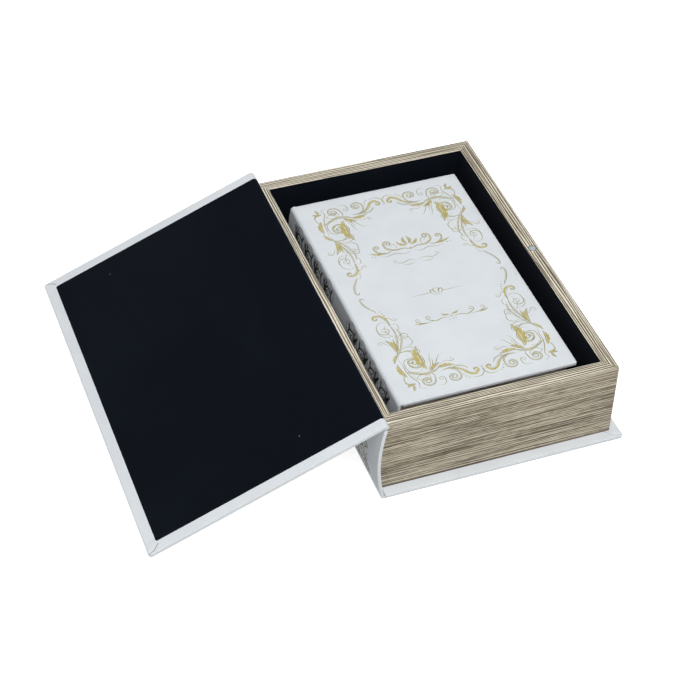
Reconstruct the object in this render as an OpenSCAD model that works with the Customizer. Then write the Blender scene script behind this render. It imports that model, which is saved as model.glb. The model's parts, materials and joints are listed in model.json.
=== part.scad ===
// A pair of nesting keepsake boxes made like hard-bound books.
// The large one lies open, with its front cover thrown right over on to the table.
// The small one lies closed in the large one's tray.
// The origin is the middle of the large base's underside. +X runs from the spine to the fore edge,
// +Y from the tail to the head, and +Z is up.

/* [Large box] */
// Length of the covers, from the tail to the head
large_cover_length = 270; // [200:1:340]
// Width of a cover, from the joint to the fore edge
large_cover_w = 170; // [130:1:220]
// Height of the tray walls
large_wall_h = 58; // [40:1:90]
// Thickness of the head, tail and fore edge walls
large_wall_t = 9; // [6:0.5:12]
// Thickness of the wall behind the spine, where the spine meets the covers
large_spine_wall_t = 6.3; // [5:0.1:10]
// How far the covers stand past the tray walls
large_square = 7; // [4:0.5:10]
// How far the spine swells out of a straight line
large_spine_rise = 4.3; // [2:0.1:7]
// Thickness of a bare cover board
large_board_t = 2.4; // [1.8:0.1:4]
// Thickness of the bare spine board
large_spine_t = 2; // [1:0.1:3]
// Thickness of the tray's floor panel
large_floor_t = 2.5; // [1.5:0.1:5]
// Width of the leatherette border round the lid's velvet
large_lid_margin = 7.7; // [5:0.1:14]

/* [Small box] */
// Room between the small box and each end of the large tray
nest_end_room = 12.6; // [6:0.1:25]
// Room between the small box and each side of the large tray
nest_side_room = 9.2; // [5:0.1:20]
// Depth of the small box's lid below the large tray's rim
nest_top_room = 9.4; // [5:0.1:20]
// Thickness of the head, tail and fore edge walls
small_wall_t = 7.5; // [5:0.5:10]
// Thickness of the wall behind the spine, where the spine meets the covers
small_spine_wall_t = 5; // [4:0.1:8]
// How far the covers stand past the tray walls
small_square = 5; // [3:0.5:8]
// How far the spine swells out of a straight line
small_spine_rise = 2.5; // [1.5:0.1:5]
// Thickness of a bare cover board
small_board_t = 2; // [1.6:0.1:3]
// Thickness of the bare spine board
small_spine_t = 1.6; // [1:0.1:3]
// Thickness of the tray's floor panel
small_floor_t = 2; // [1.5:0.1:4]
// Width of the leatherette border round the lid's velvet
small_lid_margin = 6; // [4:0.1:10]

/* [Covering and lining] */
// Thickness of the leatherette
leather_t = 0.4; // [0.2:0.1:0.8]
// Width of the base's turned-in flaps beyond the tray's outer faces
flap_lap = 4.5; // [2:0.5:6]
// Width of the seam where two flaps meet in a mitre
seam_w = 0.3; // [0.2:0.1:0.8]
// Radius of the two fore edge corners of a cover
corner_r = 1.6; // [1:0.1:5]
// How far the leatherette rounds off a cover's turned edges
edge_ease = 0.3; // [0.1:0.05:0.35]
// Thickness of the velvet on its card, on the lids and the floors
velvet_t = 0.6; // [0.5:0.1:1.5]
// Radius of the velvet panel's corners
velvet_r = 2; // [0.5:0.1:5]
// Thickness of the velvet on the walls
lining_t = 0.4; // [0.3:0.1:1]
// How far the wall velvet stops below the rim
lining_drop = 0.5; // [0:0.1:2]

/* [Magnets] */
// Diameter of the large tray's magnet
large_rim_magnet_d = 6; // [3:0.5:7]
// Diameter of the large lid's magnet
large_lid_magnet_d = 8; // [4:0.5:12]
// Diameter of the small tray's magnet
small_rim_magnet_d = 5; // [3:0.5:6]
// Diameter of the small lid's magnet
small_lid_magnet_d = 6; // [4:0.5:10]
// Thickness of a magnet let into a wall
rim_magnet_t = 2; // [1:0.1:4]
// Thickness of a magnet let into a lid board
lid_magnet_t = 1.2; // [0.8:0.1:1.5]

/* [Fits] */
// Gap between a shut lid and the rim under it
rim_gap = 0.3; // [0.2:0.05:0.6]
// Gap between the small box and the velvet it rests on
nest_gap = 0.3; // [0.2:0.05:0.6]
// Gap between the open lid's free edge and the table
table_gap = 0.1; // [0:0.05:0.5]
// Gap between a moving lid and the joint strip that carries it
joint_gap = 0.2; // [0.1:0.05:0.4]
// Room round a magnet in its pocket
pocket_gap = 0.05; // [0.02:0.01:0.2]
// Room round the floor panel
panel_gap = 0.1; // [0.05:0.05:0.5]

/* [Hidden] */

LEATHER_COLOR = [0.87, 0.88, 0.91];
WOOD_COLOR = [0.62, 0.56, 0.45];
VELVET_COLOR = [0.07, 0.085, 0.11];
BOARD_COLOR = [0.58, 0.52, 0.44];
MAGNET_COLOR = [0.72, 0.76, 0.8];
ROUND_FN = 360;
SMALL_FN = 64;
EASE_FN = 32;
JOINT_STEP = 10;
CUT = 1;

// What the two boxes share, worked out from one box's own list of sizes
function cover_l(b) = b[0];
function cover_w(b) = b[1];
function wall_h(b) = b[2];
function wall_t(b) = b[3];
function spine_wall_t(b) = b[4];
function overhang(b) = b[5];
function rise(b) = b[6];
function board_t(b) = b[7];
function spine_t(b) = b[8];
function floor_t(b) = b[9];
function lid_margin(b) = b[10];
function rim_magnet_d(b) = b[11];
function lid_magnet_d(b) = b[12];

function cover_t(b) = board_t(b) + 2 * leather_t;
function lid_t(b) = leather_t + board_t(b) + velvet_t;
function rim_z(b) = cover_t(b) + wall_h(b);
function pivot_z(b) = rim_z(b) + rim_gap + lid_t(b);
function tray_w(b) = cover_w(b) - overhang(b);
function tray_half_l(b) = cover_l(b) / 2 - overhang(b);
function hollow_x0(b) = spine_wall_t(b);
function hollow_x1(b) = tray_w(b) - wall_t(b);
function hollow_half_l(b) = tray_half_l(b) - wall_t(b);
function panel_z(b) = leather_t + board_t(b);
function floor_z(b) = panel_z(b) + floor_t(b) + velvet_t;
function magnet_x(b) = tray_w(b) - wall_t(b) / 2;
function spine_out(b) = rise(b) + spine_t(b) + leather_t;

// The spine is a stretch of a circle through the two joints, bulging by its rise
function arc_r(b) = (pow(pivot_z(b) / 2, 2) + pow(rise(b), 2)) / (2 * rise(b));
function arc_x(b) = arc_r(b) - rise(b);
function arc_at(b, r, z) = arc_x(b) - sqrt(r * r - pow(z - pivot_z(b) / 2, 2));

large = [
    large_cover_length, large_cover_w, large_wall_h, large_wall_t, large_spine_wall_t, large_square,
    large_spine_rise, large_board_t, large_spine_t, large_floor_t, large_lid_margin,
    large_rim_magnet_d, large_lid_magnet_d
];

// The small box takes its outer size from the hollow that it lies in
large_hollow_l = 2 * (hollow_half_l(large) - lining_t);
large_hollow_x0 = hollow_x0(large) + lining_t;
large_hollow_w = hollow_x1(large) - lining_t - large_hollow_x0;
small_spine_out = small_spine_rise + small_spine_t + leather_t;
small_z = floor_z(large) + nest_gap;
small_x = large_hollow_x0 + nest_side_room + small_spine_out;
small_cover_l = large_hollow_l - 2 * nest_end_room;
small_cover_w = large_hollow_w - 2 * nest_side_room - small_spine_out;
small_total_h = rim_z(large) - nest_top_room - small_z;
small_wall_h = small_total_h - 2 * small_board_t - 3 * leather_t - velvet_t - rim_gap;
small = [
    small_cover_l, small_cover_w, small_wall_h, small_wall_t, small_spine_wall_t, small_square,
    small_spine_rise, small_board_t, small_spine_t, small_floor_t, small_lid_margin,
    small_rim_magnet_d, small_lid_magnet_d
];

// The large lid turns past flat until its free edge meets the table
large_open = 180 + asin((pivot_z(large) - table_gap) / large_cover_w);
small_open = 0;

module on_large() translate([-large_cover_w / 2, 0, 0]) children();

module on_small() on_large() translate([small_x, 0, small_z]) children();

// Lid pieces are drawn lying on their outer face, with the joint along the Y axis
module on_lid(b, open) {
    translate([0, 0, pivot_z(b)])
        rotate([0, -open, 0])
            mirror([0, 0, 1])
                children();
}

// Plan of a board or a panel, with its corners at the fore edge rounded, and at the joint if asked
module leaf(x0, x1, half_l, fore_r, joint_r = 0, fn = SMALL_FN) {
    joint_x = x0 + joint_r;
    fore_x = x1 - fore_r;
    translate([joint_x, -half_l]) square([fore_x - joint_x, 2 * half_l]);
    translate([joint_x, -half_l + fore_r]) square([x1 - joint_x, 2 * (half_l - fore_r)]);
    for (side = [-1, 1])
        translate([fore_x, side * (half_l - fore_r)]) circle(r = fore_r, $fn = fn);
    if (joint_r > 0) {
        translate([x0, -half_l + joint_r]) square([2 * joint_r, 2 * (half_l - joint_r)]);
        for (side = [-1, 1])
            translate([joint_x, side * (half_l - joint_r)]) circle(r = joint_r, $fn = fn);
    }
}

module slab(x0, x1, half_l, z0, thick, fore_r, joint_r = 0) {
    translate([0, 0, z0]) linear_extrude(thick) leaf(x0, x1, half_l, fore_r, joint_r);
}

module box_between(low, high) translate(low) cube(high - low);

// A covered board's outside, with its three turned edges eased on both faces
module eased_cover(b) {
    hull() {
        linear_extrude(cover_t(b))
            leaf(0, cover_w(b) - edge_ease, cover_l(b) / 2 - edge_ease, corner_r - edge_ease, fn = EASE_FN);
        translate([0, 0, edge_ease])
            linear_extrude(cover_t(b) - 2 * edge_ease)
                leaf(0, cover_w(b), cover_l(b) / 2, corner_r, fn = EASE_FN);
    }
}

// Leatherette round a cover board: the outer face, the edges, and flaps turned in over three
// edges and mitred at the two fore edge corners
module case_wrap(b, flap) {
    half_l = cover_l(b) / 2;
    inside_z = leather_t + board_t(b);
    difference() {
        eased_cover(b);
        slab(leather_t, cover_w(b) - leather_t, half_l - leather_t, leather_t, board_t(b),
            corner_r - leather_t);
        box_between([leather_t, flap - half_l, inside_z - board_t(b) / 2],
            [cover_w(b) - flap, half_l - flap, cover_t(b) + CUT]);
        for (side = [-1, 1])
            translate([cover_w(b), side * half_l, inside_z])
                rotate(side > 0 ? 225 : 135)
                    box_between([-CUT, -seam_w / 2, 0], [flap * sqrt(2) + seam_w, seam_w / 2, leather_t + CUT]);
    }
}

module cover_board(b) {
    slab(leather_t, cover_w(b) - leather_t, cover_l(b) / 2 - leather_t, leather_t, board_t(b),
        corner_r - leather_t);
}

module base_board(b) color(BOARD_COLOR) cover_board(b);

module base_leatherette(b) color(LEATHER_COLOR) case_wrap(b, overhang(b) + flap_lap);

// A solid round bar along Y, centred on the spine's circle
module spine_bar(b, r, half_l) {
    translate([arc_x(b), 0, pivot_z(b) / 2])
        rotate([90, 0, 0])
            cylinder(r = r, h = 2 * half_l, center = true, $fn = ROUND_FN);
}

// The space outside the spine's circle, on the spine's side of the hollow
module beyond_spine(b) {
    reach = tray_half_l(b) + CUT;
    difference() {
        box_between([-2 * spine_out(b), -reach, 0], [hollow_x0(b) - CUT, reach, pivot_z(b)]);
        spine_bar(b, arc_r(b), reach + CUT);
    }
}

// A wall is its plan, mitred at the corners, drawn up to the rim and rounded behind the spine
module wall(b, plan) {
    difference() {
        translate([0, 0, cover_t(b)]) linear_extrude(wall_h(b)) polygon(plan);
        beyond_spine(b);
    }
}

// The head wall for side 1, the tail wall for side -1
module wall_end(b, side) {
    outer_y = side * tray_half_l(b);
    inner_y = side * hollow_half_l(b);
    color(WOOD_COLOR)
        wall(b, [
            [hollow_x0(b), inner_y], [hollow_x1(b), inner_y],
            [tray_w(b), outer_y], [hollow_x0(b) - wall_t(b), outer_y]
        ]);
}

module wall_fore_edge(b) {
    color(WOOD_COLOR)
        difference() {
            wall(b, [
                [hollow_x1(b), -hollow_half_l(b)], [tray_w(b), -tray_half_l(b)],
                [tray_w(b), tray_half_l(b)], [hollow_x1(b), hollow_half_l(b)]
            ]);
            translate([magnet_x(b), 0, rim_z(b) - rim_magnet_t])
                cylinder(r = rim_magnet_d(b) / 2 + pocket_gap, h = rim_magnet_t + CUT, $fn = SMALL_FN);
        }
}

module wall_spine(b) {
    corner_x = hollow_x0(b) - wall_t(b);
    back_x = min(corner_x, -spine_out(b));
    color(WOOD_COLOR)
        wall(b, [
            [hollow_x0(b), -hollow_half_l(b)], [hollow_x0(b), hollow_half_l(b)],
            [corner_x, tray_half_l(b)], [back_x, tray_half_l(b)],
            [back_x, -tray_half_l(b)], [corner_x, -tray_half_l(b)]
        ]);
}

module floor_panel(b) {
    half_l = hollow_half_l(b) - panel_gap;
    color(BOARD_COLOR)
        box_between([hollow_x0(b) + panel_gap, -half_l, panel_z(b)],
            [hollow_x1(b) - panel_gap, half_l, panel_z(b) + floor_t(b)]);
}

module floor_velvet(b) {
    half_l = hollow_half_l(b) - panel_gap;
    color(VELVET_COLOR)
        box_between([hollow_x0(b) + panel_gap, -half_l, floor_z(b) - velvet_t],
            [hollow_x1(b) - panel_gap, half_l, floor_z(b)]);
}

// The head lining for side 1, the tail lining for side -1
module lining_end(b, side) {
    wall_y = side * hollow_half_l(b);
    face_y = wall_y - side * lining_t;
    color(VELVET_COLOR)
        box_between([hollow_x0(b), min(wall_y, face_y), floor_z(b)],
            [hollow_x1(b), max(wall_y, face_y), rim_z(b) - lining_drop]);
}

// A side lining runs between the two end linings, from x to one velvet's thickness further
module lining_side(b, x) {
    half_l = hollow_half_l(b) - lining_t;
    color(VELVET_COLOR)
        box_between([x, -half_l, floor_z(b)], [x + lining_t, half_l, rim_z(b) - lining_drop]);
}

module lining_fore_edge(b) lining_side(b, hollow_x1(b) - lining_t);

module lining_spine(b) lining_side(b, hollow_x0(b));

// A shell on the spine's circle, between two radii and as tall as the tray
module spine_shell(b, r0, r1, half_l) {
    intersection() {
        difference() {
            spine_bar(b, r1, half_l);
            spine_bar(b, r0, half_l + CUT);
        }
        box_between([-2 * spine_out(b), -half_l - CUT, cover_t(b)],
            [hollow_x0(b), half_l + CUT, rim_z(b)]);
    }
}

module spine_board(b) {
    color(BOARD_COLOR)
        spine_shell(b, arc_r(b), arc_r(b) + spine_t(b), cover_l(b) / 2 - leather_t);
}

// The outer skin, carried round the board's ends and in as far as the tray
module spine_leatherette(b) {
    half_l = cover_l(b) / 2;
    lap = overhang(b) - seam_w;
    color(LEATHER_COLOR)
        difference() {
            spine_shell(b, arc_r(b) - leather_t, arc_r(b) + spine_t(b) + leather_t, half_l);
            spine_bar(b, arc_r(b) + spine_t(b), half_l - leather_t);
            spine_bar(b, arc_r(b) + spine_t(b) / 2, half_l - lap);
        }
}

// A strip that turns a quarter of an ellipse: from flat at [0, 0] to upright at [-out, up]
function quarter_strip(out, up) = concat(
    [for (a = [0:JOINT_STEP:90]) [-out * sin(a), up * (1 - cos(a))]],
    [for (a = [90:-JOINT_STEP:0])
        [-(out - leather_t) * sin(a), leather_t + (up - leather_t) * (1 - cos(a))]]
);

// Section through X and Z, drawn along the whole cover
module along_spine(b, section) {
    half_l = cover_l(b) / 2;
    translate([0, half_l, 0]) rotate([90, 0, 0]) linear_extrude(2 * half_l) polygon(section);
}

module lower_joint(b) {
    out = -arc_at(b, arc_r(b) + spine_t(b) + leather_t, cover_t(b));
    color(LEATHER_COLOR) along_spine(b, quarter_strip(out, cover_t(b)));
}

// The joint with its lid shut: the lower joint's strip upside down, from the lid to the spine
module lid_joint_shut(b) {
    out = -arc_at(b, arc_r(b) + spine_t(b) + leather_t, rim_z(b));
    up = pivot_z(b) - rim_z(b);
    color(LEATHER_COLOR)
        translate([-joint_gap, 0, pivot_z(b)])
            mirror([0, 0, 1])
                along_spine(b, quarter_strip(out - joint_gap, up));
}

// The joint with its lid thrown over: the strip runs up from the spine to a sharp fold at the pivot
module lid_joint_open(b) {
    out = -arc_at(b, arc_r(b) + spine_t(b) + leather_t, rim_z(b));
    fold_z = pivot_z(b) - joint_gap;
    shoulder = [-out * 0.55, rim_z(b) + (fold_z - rim_z(b)) * 0.62];
    color(LEATHER_COLOR)
        along_spine(b, [
            [-out, rim_z(b)], shoulder, [-leather_t, fold_z - leather_t / 2], [0, fold_z - leather_t / 2],
            [0, fold_z - 2 * leather_t], shoulder + [leather_t, -leather_t / 2],
            [leather_t - out, rim_z(b)]
        ]);
}

module magnet_disc(d, thick) color(MAGNET_COLOR) cylinder(r = d / 2, h = thick, $fn = SMALL_FN);

module rim_magnet(b) {
    translate([magnet_x(b), 0, rim_z(b) - rim_magnet_t]) magnet_disc(rim_magnet_d(b), rim_magnet_t);
}

module lid_board(b) {
    color(BOARD_COLOR)
        difference() {
            cover_board(b);
            translate([magnet_x(b), 0, leather_t + board_t(b) - lid_magnet_t])
                cylinder(r = lid_magnet_d(b) / 2 + pocket_gap, h = lid_magnet_t + CUT, $fn = SMALL_FN);
        }
}

module lid_leatherette(b) color(LEATHER_COLOR) case_wrap(b, lid_margin(b));

module lid_velvet(b) {
    color(VELVET_COLOR)
        slab(leather_t, cover_w(b) - lid_margin(b), cover_l(b) / 2 - lid_margin(b),
            leather_t + board_t(b), velvet_t, velvet_r, velvet_r);
}

module lid_magnet(b) {
    translate([magnet_x(b), 0, leather_t + board_t(b) - lid_magnet_t])
        magnet_disc(lid_magnet_d(b), lid_magnet_t);
}

on_large() base_board(large);
on_large() base_leatherette(large);
on_large() wall_end(large, 1);  // wall_head
on_large() wall_end(large, -1);  // wall_tail
on_large() wall_fore_edge(large);
on_large() wall_spine(large);
on_large() floor_panel(large);
on_large() floor_velvet(large);
on_large() lining_end(large, 1);  // lining_head
on_large() lining_end(large, -1);  // lining_tail
on_large() lining_fore_edge(large);
on_large() lining_spine(large);
on_large() spine_board(large);
on_large() spine_leatherette(large);
on_large() lower_joint(large);
on_large() lid_joint_open(large);  // lid_joint
on_large() rim_magnet(large);
on_large() on_lid(large, large_open) lid_board(large);
on_large() on_lid(large, large_open) lid_leatherette(large);
on_large() on_lid(large, large_open) lid_velvet(large);
on_large() on_lid(large, large_open) lid_magnet(large);
on_small() base_board(small);  // small_base_board
on_small() base_leatherette(small);  // small_base_leatherette
on_small() wall_end(small, 1);  // small_wall_head
on_small() wall_end(small, -1);  // small_wall_tail
on_small() wall_fore_edge(small);  // small_wall_fore_edge
on_small() wall_spine(small);  // small_wall_spine
on_small() floor_panel(small);  // small_floor_panel
on_small() floor_velvet(small);  // small_floor_velvet
on_small() lining_end(small, 1);  // small_lining_head
on_small() lining_end(small, -1);  // small_lining_tail
on_small() lining_fore_edge(small);  // small_lining_fore_edge
on_small() lining_spine(small);  // small_lining_spine
on_small() spine_board(small);  // small_spine_board
on_small() spine_leatherette(small);  // small_spine_leatherette
on_small() lower_joint(small);  // small_lower_joint
on_small() lid_joint_shut(small);  // small_lid_joint
on_small() rim_magnet(small);  // small_rim_magnet
on_small() on_lid(small, small_open) lid_board(small);  // small_lid_board
on_small() on_lid(small, small_open) lid_leatherette(small);  // small_lid_leatherette
on_small() on_lid(small, small_open) lid_velvet(small);  // small_lid_velvet
on_small() on_lid(small, small_open) lid_magnet(small);  // small_lid_magnet
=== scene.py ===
"""The looks of a pair of nesting keepsake boxes that are made like hard-bound books.

The large box lies open, with its cover thrown right over, and the small box lies shut in its tray.
Every length is in metres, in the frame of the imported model. The origin is the middle of the large
base's underside, +X runs from the spine to the fore edge, +Y from the tail to the head, +Z is up.
"""

import json
import logging
import math
from dataclasses import dataclass, field
from enum import Enum
from typing import Callable, Iterable, Sequence

import bmesh
import bpy
from mathutils import Matrix, Vector, noise
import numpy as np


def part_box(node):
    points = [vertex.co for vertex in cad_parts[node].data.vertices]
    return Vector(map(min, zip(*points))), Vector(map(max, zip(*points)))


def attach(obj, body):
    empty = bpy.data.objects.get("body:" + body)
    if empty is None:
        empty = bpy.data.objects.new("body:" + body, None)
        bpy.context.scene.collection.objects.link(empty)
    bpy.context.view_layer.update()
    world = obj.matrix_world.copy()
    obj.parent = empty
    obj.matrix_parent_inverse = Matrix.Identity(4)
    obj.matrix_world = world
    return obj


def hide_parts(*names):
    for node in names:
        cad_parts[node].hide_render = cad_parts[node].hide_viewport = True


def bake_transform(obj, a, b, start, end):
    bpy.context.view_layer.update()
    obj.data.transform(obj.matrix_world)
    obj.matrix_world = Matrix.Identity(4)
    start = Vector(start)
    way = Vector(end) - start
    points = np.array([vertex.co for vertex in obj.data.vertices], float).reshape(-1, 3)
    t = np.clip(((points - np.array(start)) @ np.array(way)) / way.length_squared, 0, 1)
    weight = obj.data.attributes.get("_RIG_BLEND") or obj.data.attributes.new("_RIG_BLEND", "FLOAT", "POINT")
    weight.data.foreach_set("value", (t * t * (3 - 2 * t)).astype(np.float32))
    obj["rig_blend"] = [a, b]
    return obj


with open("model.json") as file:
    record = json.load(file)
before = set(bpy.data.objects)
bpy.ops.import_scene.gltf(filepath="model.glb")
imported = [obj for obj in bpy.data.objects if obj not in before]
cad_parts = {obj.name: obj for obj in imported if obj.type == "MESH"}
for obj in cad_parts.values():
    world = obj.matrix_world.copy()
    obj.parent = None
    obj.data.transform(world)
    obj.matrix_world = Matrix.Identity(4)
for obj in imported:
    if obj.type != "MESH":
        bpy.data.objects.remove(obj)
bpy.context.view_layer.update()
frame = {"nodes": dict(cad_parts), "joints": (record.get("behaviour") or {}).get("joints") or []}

LOG = logging.getLogger("book_box")
MM = 0.001
EDGE_MARK = "edge_share"
# mark of painted shade: the shadow along a wall's foot and the shade in a cover's mitred folds
SHADE_MARK = "painted_shade_share"
RIM_MARK = "rim_share"
WHITE = (1.0, 1.0, 1.0, 1.0)
SHARP_FROM = 40.0
WELD = 0.001 * MM

Colour = tuple[float, float, float]
Socket = bpy.types.NodeSocket
Value = float | Socket
Point = tuple[float, float]
Point3 = tuple[float, float, float]
Strip = list[tuple[Vector, Vector]]


def srgb(red: int, green: int, blue: int) -> Colour:
    """Turns a colour as a screen shows it, from 0 to 255, into linear light.

    Args:
        red: the red share.
        green: the green share.
        blue: the blue share.

    Returns:
        The three linear shares, from 0 to 1.
    """

    def linear(share: int) -> float:
        """One share in linear light."""
        level = share / 255
        return level / 12.92 if level <= 0.04045 else ((level + 0.055) / 1.055) ** 2.4

    return linear(red), linear(green), linear(blue)


def smooth_step(low: float, high: float, value: float) -> float:
    """Rises smoothly from 0 at low to 1 at high."""
    share = min(max((value - low) / (high - low), 0.0), 1.0)
    return share * share * (3 - 2 * share)


def bell(distance: float, reach: float) -> float:
    """A smooth bump: 1 at no distance, and near 0 at twice the reach."""
    return math.exp(-((distance / reach) ** 2))


class Grain(Enum):
    """Which way the wood grain of a wall runs."""

    ALONG_X = 0
    ALONG_Y = 1


class Side(Enum):
    """The four sides of a tray, by the binder's names."""

    HEAD = "head"
    TAIL = "tail"
    FORE_EDGE = "fore_edge"
    SPINE = "spine"


OUTWARD: dict[Side, Point] = {
    Side.HEAD: (0.0, 1.0), Side.TAIL: (0.0, -1.0), Side.FORE_EDGE: (1.0, 0.0), Side.SPINE: (-1.0, 0.0),
}
ENDS = (Side.HEAD, Side.TAIL)


class NodeWiring:
    """A node tree that is being wired, with short calls to add nodes and to join them."""

    def __init__(self, tree: bpy.types.NodeTree) -> None:
        """Takes the tree that the nodes go into."""
        self.tree = tree

    def add(self, kind: str, **settings: object) -> bpy.types.Node:
        """Adds a node.

        Args:
            kind: the node's type name.
            **settings: the node's own properties.

        Returns:
            The new node.
        """
        node = self.tree.nodes.new(kind)
        for name, value in settings.items():
            setattr(node, name, value)
        return node

    def feed(self, into: Socket, value: object) -> None:
        """Joins a socket to another, or sets its value."""
        if isinstance(value, bpy.types.NodeSocket):
            self.tree.links.new(value, into)
        else:
            into.default_value = value

    def give(self, node: bpy.types.Node, **values: object) -> bpy.types.Node:
        """Feeds a node's inputs.

        Args:
            node: the node.
            **values: its inputs, by name, with an underscore for each space.

        Returns:
            The same node.
        """
        for name, value in values.items():
            self.feed(node.inputs[name.replace("_", " ")], value)
        return node

    def math(self, operation: str, first: Value, second: Value = 0.0, clamp: bool = False) -> Socket:
        """Works out one value from two.

        Args:
            operation: Blender's name of the operation.
            first: the first value or socket.
            second: the second value or socket.
            clamp: whether the result is kept between 0 and 1.

        Returns:
            The result's socket.
        """
        node = self.add("ShaderNodeMath", operation=operation, use_clamp=clamp)
        self.feed(node.inputs[0], first)
        self.feed(node.inputs[1], second)
        return node.outputs[0]

    def spread(self, value: Socket, low: float, high: float, to_low: float = 0.0,
               to_high: float = 1.0) -> Socket:
        """Maps a value smoothly from one range to another.

        Args:
            value: the value's socket.
            low: the lower end of its range.
            high: the upper end of its range.
            to_low: what the lower end becomes.
            to_high: what the upper end becomes.

        Returns:
            The result's socket.
        """
        node = self.add("ShaderNodeMapRange", interpolation_type="SMOOTHSTEP")
        for place, number in zip(range(5), (value, low, high, to_low, to_high)):
            self.feed(node.inputs[place], number)
        return node.outputs[0]

    def mix(self, share: Value, first: object, second: object, blend: str = "MIX") -> Socket:
        """Mixes two colours.

        Args:
            share: how much of the second colour shows.
            first: the first colour or socket.
            second: the second colour or socket.
            blend: Blender's name of the way to mix.

        Returns:
            The colour's socket.
        """
        node = self.add("ShaderNodeMix", data_type="RGBA", blend_type=blend)
        self.feed(node.inputs[0], share)
        for place, colour in ((6, first), (7, second)):
            self.feed(node.inputs[place], (*colour, 1.0) if isinstance(colour, tuple) else colour)
        return node.outputs[2]

    def noise(self, vector: Socket, scale: Value, detail: float = 4.0, rough: float = 0.5,
              warp: float = 0.0) -> Socket:
        """Adds a noise texture.

        Args:
            vector: the place that it reads.
            scale: its scale.
            detail: how many finer layers it has.
            rough: how strong the finer layers are.
            warp: how much it is distorted.

        Returns:
            The socket of its value.
        """
        node = self.add("ShaderNodeTexNoise")
        self.give(node, Vector=vector, Scale=scale, Detail=detail, Roughness=rough, Distortion=warp)
        return node.outputs["Fac"]

    def cells(self, vector: Socket, scale: Value, smooth: bool = True) -> bpy.types.Node:
        """Adds a texture of cells and returns its node."""
        node = self.add("ShaderNodeTexVoronoi", feature="SMOOTH_F1" if smooth else "F1")
        return self.give(node, Vector=vector, Scale=scale)

    def stretched(self, vector: Socket, scale: Sequence[float]) -> Socket:
        """Scales a place by its three axes."""
        node = self.add("ShaderNodeVectorMath", operation="MULTIPLY")
        self.feed(node.inputs[0], vector)
        node.inputs[1].default_value = scale
        return node.outputs[0]

    def streaks(self, vector: Socket, scale: Sequence[float], detail: float = 1.0) -> Socket:
        """Adds a noise with a scale of its own along each axis."""
        return self.noise(self.stretched(vector, scale), 1.0, detail)

    def sum_of(self, *parts: tuple[Socket, float]) -> Socket:
        """Adds values up, each times its own share."""
        total, *others = [self.math("MULTIPLY", value, share) for value, share in parts]
        for other in others:
            total = self.math("ADD", total, other)
        return total

    def place(self) -> Socket:
        """The place on the object, in metres, which moves with it."""
        return self.add("ShaderNodeTexCoord").outputs["Object"]

    def mark(self, name: str) -> Socket:
        """The value of a mark that the mesh carries at its points."""
        return self.add("ShaderNodeAttribute", attribute_name=name).outputs["Fac"]

    def bump(self, height: Socket, distance: float, strength: float = 1.0) -> Socket:
        """Turns heights from 0 to 1 into a normal.

        Args:
            height: the heights' socket.
            distance: what a height of 1 measures, in metres.
            strength: how much of it shows.

        Returns:
            The normal's socket.
        """
        node = self.give(self.add("ShaderNodeBump"), Strength=strength, Distance=distance, Height=height)
        return node.outputs["Normal"]


@dataclass(frozen=True)
class Effect:
    """A shader node group that several finishes place with their own values."""

    name: str
    inputs: dict[str, tuple[str, object]]
    outputs: dict[str, str]
    wire: Callable[[NodeWiring, dict[str, Socket]], dict[str, Socket]]

    def group(self) -> bpy.types.NodeTree:
        """Returns the group, which is built the first time that it is asked for."""
        known = bpy.data.node_groups.get(self.name)
        if known is not None:
            return known
        tree = bpy.data.node_groups.new(self.name, "ShaderNodeTree")
        for name, (kind, default) in self.inputs.items():
            socket = tree.interface.new_socket(name=name, in_out="INPUT", socket_type=kind)
            if default is not None:
                socket.default_value = default
        for name, kind in self.outputs.items():
            tree.interface.new_socket(name=name, in_out="OUTPUT", socket_type=kind)
        wiring = NodeWiring(tree)
        start = wiring.add("NodeGroupInput")
        end = wiring.add("NodeGroupOutput")
        made = self.wire(wiring, {name: start.outputs[name] for name in self.inputs})
        for name, socket in made.items():
            wiring.feed(end.inputs[name], socket)
        return tree

    def put(self, wiring: NodeWiring, **values: object) -> bpy.types.Node:
        """Places the group in a material.

        Args:
            wiring: the material's wiring.
            **values: its inputs, by name, with an underscore for each space.

        Returns:
            The group's node.
        """
        return wiring.give(wiring.add("ShaderNodeGroup", node_tree=self.group()), **values)


FLOAT = "NodeSocketFloat"
VECTOR = "NodeSocketVector"


def wire_pebble(wiring: NodeWiring, given: dict[str, Socket]) -> dict[str, Socket]:
    """Wires the pebbled surface of leatherette: fine cells over slow swells."""
    cells = wiring.cells(given["Vector"], given["Scale"])
    warp = wiring.noise(given["Vector"], wiring.math("MULTIPLY", given["Scale"], 0.45), 3.0, 0.6)
    height = wiring.sum_of((cells.outputs["Distance"], 0.75), (warp, 1.0))
    mottle = wiring.noise(given["Vector"], 38.0, 3.0, 0.55)
    return {"Height": height, "Mottle": mottle}


def wire_edge_wear_and_light(wiring: NodeWiring, given: dict[str, Socket]) -> dict[str, Socket]:
    """Wires a broken mask along the edges that the mesh marks."""
    broken = wiring.noise(given["Vector"], given["Scale"], 5.0, 0.65)
    edge = wiring.math("MULTIPLY", wiring.mark(EDGE_MARK), wiring.spread(broken, 0.34, 0.56))
    return {"Mask": wiring.math("MULTIPLY", edge, given["Amount"], clamp=True)}


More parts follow.
